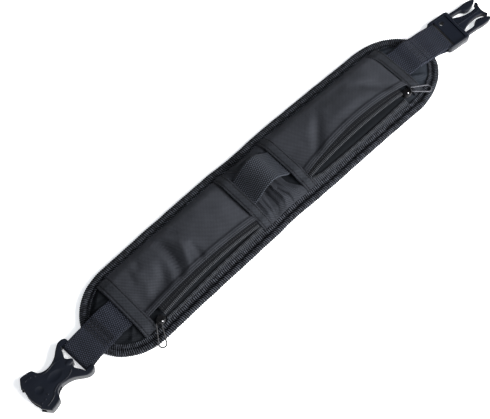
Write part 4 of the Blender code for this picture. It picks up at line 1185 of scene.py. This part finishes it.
def build_slider(key):
    heading = math.radians(SLIDER_HEADINGS[key])
    hinge = Vector(joint(f"pull_{key}_swing")["pos_m"])
    shift = (SLIDER_LENGTH - BAIL_LENGTH) / 2 + BAIL_OVERHANG
    centre = hinge - Vector((math.cos(heading), math.sin(heading), 0)) * shift
    long, wide = SLIDER_LENGTH / 2, SLIDER_WIDTH / 2
    height = 2 * SLIDER_PLATE + SLIDER_GAP

    def plate(name, points, bottom, top, radius=0, segments=3):
        return rounded_plate(name, points, bottom, top, radius, slider_metal, segments)

    outline_points = mirrored(through_points(np.array(SLIDER_OUTLINE) * (long, wide), 4))
    body = plate(f"slider_body_{key}", outline_points, 0, SLIDER_PLATE, 0.3 * MM)
    parts = [plate("upper", outline_points, SLIDER_PLATE + SLIDER_GAP, height + 0.15 * MM, 0.35 * MM)]
    parts.append(plate("post", rectangle(-long * 0.9, long * 0.7, -wide * 0.28, wide * 0.28),
                       SLIDER_PLATE / 2, height - SLIDER_PLATE / 2))
    for side in (-1, 1):
        plan = rectangle(-long * 0.7, long * 0.4, side * wide * 0.80, side * wide * 0.97)
        parts.append(plate("flange", plan, height - SLIDER_PLATE * 1.6, height - SLIDER_PLATE / 2))
    reach, half = BAIL_LENGTH / 2, 0.5 * MM
    leg = [(reach, 0), (reach * 0.95, BAIL_OPENING * 0.7), (reach * 0.6, BAIL_OPENING + 0.5 * MM)]
    line = [(-x, y) for x, y in leg] + [(0, BAIL_OPENING + 0.6 * MM)] + leg[::-1]
    outer = through_points(line, 5)
    inner = outer * np.array([0.66, 0.80])
    bail = plate("bail", np.concatenate([outer, inner[::-1]]), -half, half, 0.18 * MM, 2)
    stand = Matrix.Translation((shift, 0, height - 0.3 * MM)) @ Matrix.Rotation(math.pi / 2, 4, "X")
    bail.data.transform(stand)
    foot = plate("foot", rectangle(shift - reach, shift + reach, -half, half),
                 height - 0.35 * MM, height + 0.1 * MM, 0.1 * MM, 2)
    merge(body, [*parts, bail, foot])
    body.data.transform(plan_matrix((centre.x, centre.y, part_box("slider_" + key)[0].z), heading))
    # A bright ball on the slider's crown: a painted highlight.
    dome = ball(f"slider_highlight_dome_{key}", hinge + Vector(SLIDER_DOMES[key]), DOME_RADII, highlight_crown_metal)
    dome.data.shade_smooth()
    finish_piece(dome, "pad", "zip_metal")
    finish_piece(soften(body), "pad", "zip_metal", "slider_" + key)


def build_pull(key):
    """A closed loop of wire: a cross piece held in the bail, two legs and a round end."""
    near, far, corner = 1.9 * MM, 2.95 * MM, 0.7 * MM
    length = PULL_LENGTH - far - PULL_WIRE / 2
    side = [(0, 0), (0, near - corner), (corner * 0.3, near - corner * 0.3), (corner, near)]
    side += [(blend(corner, length, k / 12), blend(near, far, k / 12)) for k in range(1, 12)]
    side += [(length + far * math.sin(a), far * math.cos(a)) for a in np.linspace(0, math.pi / 2, 13)]
    loop = np.array(side + [(x, -y) for x, y in reversed(side[1:-1])])
    ahead = closed_run(loop)
    normal = np.stack([ahead[:, 1], -ahead[:, 0]], -1)
    turns = np.linspace(0, 2 * math.pi, 14, endpoint=False)
    radius = (blend(PULL_WIRE_THIN, PULL_WIRE, smooth((loop[:, 0] - 0.8 * MM) / (2 * MM))) / 2)[:, None]
    rings = np.zeros((len(loop), len(turns), 3))
    rings[..., :2] = loop[:, None] + normal[:, None] * (np.cos(turns) * radius)[..., None]
    rings[..., 2] = np.sin(turns) * radius
    obj = loft("pull_loop_" + key, rings, pull_metal[key], closed=True, sharp=80)
    swing = f"pull_{key}_swing"
    obj.data.transform(joint_frame(swing) @ Matrix.Rotation(math.radians(PULL_DIPS[key]), 4, "Y"))
    finish_piece(obj, joint(swing)["child"], "zip_metal", "pull_" + key)


# Buckle halves, built round the bar with +X away from the pad. Outlines are in shares of length and half
# width.

SOCKET_LENGTH = 46.0 * MM
SOCKET_WIDTH = 34.2 * MM
SOCKET_THICKNESS = 8.6 * MM
SOCKET_WALL = 1.7 * MM
SOCKET_OUTLINE = (
    (-0.066, 0.800), (-0.058, 0.905), (-0.010, 0.985), (0.045, 1.000), (0.098, 0.965), (0.172, 0.840),
    (0.265, 0.650), (0.345, 0.545), (0.415, 0.497), (0.480, 0.482), (0.540, 0.510), (0.592, 0.570),
    (0.630, 0.655), (0.650, 0.780), (0.670, 0.885), (0.722, 0.945), (0.800, 0.985), (0.877, 1.000),
)
SOCKET_MOUTH = ((0.930, 0.820), (0.984, 0.600), (0.956, 0.530), (0.986, 0.240), (0.994, 0.000))
SOCKET_RIM = ((0.225, 0.300), (0.300, 0.405), (0.380, 0.430), (0.480, 0.395), (0.560, 0.400), (0.640, 0.480),
              (0.700, 0.620), (0.790, 0.700), (0.880, 0.735))
GRIP_DOTS = ((0.856, -0.72), (0.760, -0.69), (0.694, -0.58), (0.750, 0.37), (0.830, 0.46), (0.909, 0.48))
SOCKET_RING = ((0.088, 0.771), (0.096, 0.690), (0.120, 0.560), (0.150, 0.430), (0.172, 0.300), (0.166, 0.220),
               (0.140, 0.140), (0.104, 0.070), (0.092, 0.000))


def build_socket():
    half, level = SOCKET_WIDTH / 2, SOCKET_THICKNESS / 2
    scale = np.array([SOCKET_LENGTH, half])

    def lump(name, x, y, z, *radii):
        """A ball at shares of the length and half width; its height and radii are in millimetres."""
        return ball(name, (x * SOCKET_LENGTH, y * half, level + z * MM), [r * MM for r in radii], plastic)

    side = through_points(np.array(SOCKET_OUTLINE) * scale, 5)
    points = mirrored(np.concatenate([side, np.array(SOCKET_MOUTH) * scale]))
    socket = rounded_plate("buckle_socket_shell", points, -level, level, 1.5 * MM, plastic, 8)
    room = WEBBING_WIDTH / 2 + SIDE_PLAY
    fold = BAR_DIAMETER / 2 + BAR_PLAY + WEBBING
    ring = through_points(np.array(SOCKET_RING) * scale, 4)
    opening = [(-SOCKET_LENGTH * 0.2, room), (fold * 0.6, room)] + [tuple(p) for p in ring if p[1] < room]
    cuts = [rounded_plate("ring_cut", mirrored(opening), -level * 1.5, level * 1.5, 0, plastic)]
    deep, wide = SOCKET_LENGTH - 27.0 * MM, 13.5 * MM
    cavity = [(SOCKET_LENGTH * 1.1, wide), (deep + wide * 0.7, wide), (deep + wide * 0.5, wide * 0.75),
              (deep, wide * 0.35)]
    cuts.append(rounded_plate("bore", mirrored(cavity), SOCKET_WALL - level, level - SOCKET_WALL, 0, plastic))
    cuts.append(lump("dish", 0.48, 0, 1.6, 9.5, 5.2, 2.2))
    cuts.append(lump("thumb_rest", 0.80, 0, 1.6, 5.0, 5.0, 2.1))
    socket = combine(socket, cuts, "DIFFERENCE")
    adds = [rod("bar", BAR_DIAMETER / 2, 2 * room + 1.5 * MM, "Y", (0, 0, 0), plastic)]
    adds.append(lump("tongue_ridge", 0.170, 0, -0.3, 3.6, 2.4, 0.9))
    for y in (-1, 1):
        rim = through_points(np.array(SOCKET_RIM) * scale * np.array([1, y]), 5)
        path = np.column_stack([rim, np.full(len(rim), level - 0.1 * MM)])
        adds.append(tube("rim", path, 0.45 * MM, plastic))
    adds += [lump("dot", x, y, 0, 0.75, 0.75, 0.55) for x, y in GRIP_DOTS]
    socket = merge(soften(socket, 14), [soften(part, 60) for part in adds])
    socket.data.transform(joint_frame("socket_swing"))
    finish_piece(socket, "socket", "buckle_plastic", "buckle_socket")


PLUG_LENGTH = 45.6 * MM
PLUG_BODY = 19.2 * MM
PLUG_WIDTH = 30.6 * MM
PLUG_THICKNESS = 7.7 * MM
PLUG_PLATE = 5.4 * MM
PRONG_THICKNESS = 4.4 * MM
PRONG_SPAN = 25.0 * MM
PRONG_OUTLINE = (
    (-0.060, 1.000), (0.200, 0.985), (0.420, 0.985), (0.600, 1.015), (0.780, 1.005), (0.910, 0.955),
    (0.985, 0.875), (0.995, 0.800), (0.950, 0.700), (0.850, 0.590), (0.740, 0.500), (0.640, 0.440),
    (0.550, 0.440), (0.470, 0.520), (0.420, 0.630), (0.340, 0.705), (0.200, 0.725), (-0.060, 0.715),
)
GUIDE_OUTLINE = (
    (-0.060, 0.640), (0.080, 0.520), (0.250, 0.370), (0.450, 0.275), (0.650, 0.255), (0.800, 0.300),
    (0.880, 0.400), (0.925, 0.520), (0.965, 0.545), (0.998, 0.500), (0.998, 0.420), (0.960, 0.280),
    (0.945, 0.120), (0.942, 0.0),
)


def build_plug():
    half, level = PLUG_WIDTH / 2, PLUG_THICKNESS / 2
    arm = BAR_DIAMETER / 2 + BAR_PLAY
    body = [(-arm, half * 0.90), (-arm * 0.4, half * 0.985), (2 * MM, half), (PLUG_BODY - 3 * MM, half),
            (PLUG_BODY - 0.8 * MM, half * 0.96), (PLUG_BODY, half * 0.88), (PLUG_BODY, PRONG_SPAN * 0.30),
            (PLUG_BODY - 0.9 * MM, PRONG_SPAN * 0.15), (PLUG_BODY - 1.2 * MM, 0)]
    plug = rounded_plate("buckle_plug_body", mirrored(body), -level, level, 1.2 * MM, plastic, 4)
    room = WEBBING_WIDTH / 2 + SIDE_PLAY
    slot_end = arm + WEBBING + 0.6 * MM
    slot = mirrored([(-half, room), (slot_end, room)])
    cuts = [rounded_plate("slot", slot, -level * 1.5, level * 1.5, 0, plastic)]
    shelf = mirrored([(slot_end - 1 * MM, room), (PLUG_BODY * 0.82, room * 0.98)])
    for face in (-1, 1):
        low, high = sorted((face * PLUG_PLATE / 2, face * level * 1.5))
        cuts.append(rounded_plate("recess", shelf, low, high, 0, plastic))
    eye = (slot_end + 4.4 * MM, room - 4.6 * MM, 0)
    cuts.append(rod("eye", 2.1 * MM, PLUG_THICKNESS * 2, "Z", eye, plastic))
    plug = combine(plug, cuts, "DIFFERENCE")
    reach, span, thick = PLUG_LENGTH - PLUG_BODY, PRONG_SPAN / 2, PRONG_THICKNESS / 2
    prong, guide = (through_points(np.array(shape) * (reach, span), 4) + (PLUG_BODY, 0)
                    for shape in (PRONG_OUTLINE, GUIDE_OUTLINE))
    adds = [rounded_plate("prong", prong * (1, y), -thick, thick, 0.9 * MM, plastic, 3) for y in (-1, 1)]
    adds.append(rounded_plate("guide", mirrored(guide), -thick * 0.96, thick * 0.96, 0.8 * MM, plastic, 3))
    for y in (-1, 1):
        horn = (PLUG_BODY + reach * 0.945, y * span * 0.50, 0)
        adds.append(rod("horn", 1.35 * MM, PRONG_THICKNESS * 0.96, "Z", horn, plastic, 24))
    ridge = mirrored([(PLUG_BODY - 1 * MM, 0.55 * MM), (PLUG_BODY + reach * 0.86, 0.45 * MM)])
    adds.append(rounded_plate("ridge", ridge, -thick - 0.4 * MM, thick + 0.4 * MM, 0.25 * MM, plastic, 2))
    adds.append(rod("bar", BAR_DIAMETER / 2, 2 * room + 1.0 * MM, "Y", (0, 0, 0), plastic))
    plug = soften(merge(plug, adds))
    plug.data.transform(joint_frame("plug_swing"))
    finish_piece(plug, "plug", "buckle_plastic", "buckle_plug")


# Camera, floor and light

def build_stage():
    data = bpy.data.cameras.new("camera")
    data.sensor_width, data.lens = 36.0, 95.51
    data.clip_start, data.clip_end = 0.05, 20.0
    camera = add_object("camera", data)
    turn, height, distance = math.radians(-44.124), math.radians(64.773), 0.99387
    back = Vector((math.sin(turn) * math.cos(height), -math.cos(turn) * math.cos(height), math.sin(height)))
    camera.location = Vector((-23.99, -2.94, 0.0)) * MM + back * distance
    camera.rotation_euler = back.to_track_quat("Z", "Y").to_euler()
    bpy.context.scene.camera = camera
    bpy.context.scene.view_settings.view_transform = "Standard"

    mesh = bpy.data.meshes.new("floor")
    mesh.from_pydata([(x, y, -0.0002) for x, y in rectangle(-4, 4, -4, 4)], [], [(0, 1, 2, 3)])
    paint = Shader("floor", 0.9)
    paint.set("Base Color", (0.92, 0.925, 0.93, 1))
    paint.set("Emission Color", (0.95, 0.97, 1.0, 1))
    paint.set("Emission Strength", 0.50)
    mesh.materials.append(paint.material)
    add_object("floor", mesh)

    world = bpy.data.worlds.new("studio")
    world.use_nodes = True
    background = world.node_tree.nodes["Background"]
    background.inputs["Color"].default_value = (0.93, 0.96, 1.0, 1)
    background.inputs["Strength"].default_value = 0.22
    bpy.context.scene.world = world

    lights = (
        ("key", (0.45, -0.95, 0.70), 1.1, 66.0, (1.0, 0.99, 0.97)),
        ("low", (0.30, -1.10, 0.28), 0.5, 4.0, (0.92, 0.95, 1.0)),
        ("top", (-0.60, -0.10, 1.45), 1.0, 5.0, (0.96, 0.98, 1.0)),
    )
    for name, place, size, power, colour in lights:
        lamp = bpy.data.lights.new(name, "AREA")
        lamp.size, lamp.energy, lamp.color = size, power, colour
        obj = add_object(name, lamp)
        obj.location = place
        obj.rotation_euler = Vector(place).to_track_quat("Z", "Y").to_euler()


build_stage()
panel_stitches = Threads(0.24 * MM)
strap_stitches = {name: Threads(0.26 * MM) for name in STRAPS}
build_pad()
build_binding()
build_centre_panel()
for key in POCKETS:
    build_pocket(key)
    build_zip(key)
    build_slider(key)
    build_pull(key)
for name in BANDS:
    build_band(name)
build_loop()
for name in STRAPS:
    build_strap(name)
build_socket()
build_plug()
finish_piece(panel_stitches.make("panel_stitching", thread), "pad", "pocket_fabric")
for name, cotton in (("strap_left", thread), ("strap_right", strap_thread)):
    finish_piece(strap_stitches[name].make(name + "_stitching", cotton), "pad", "webbing")
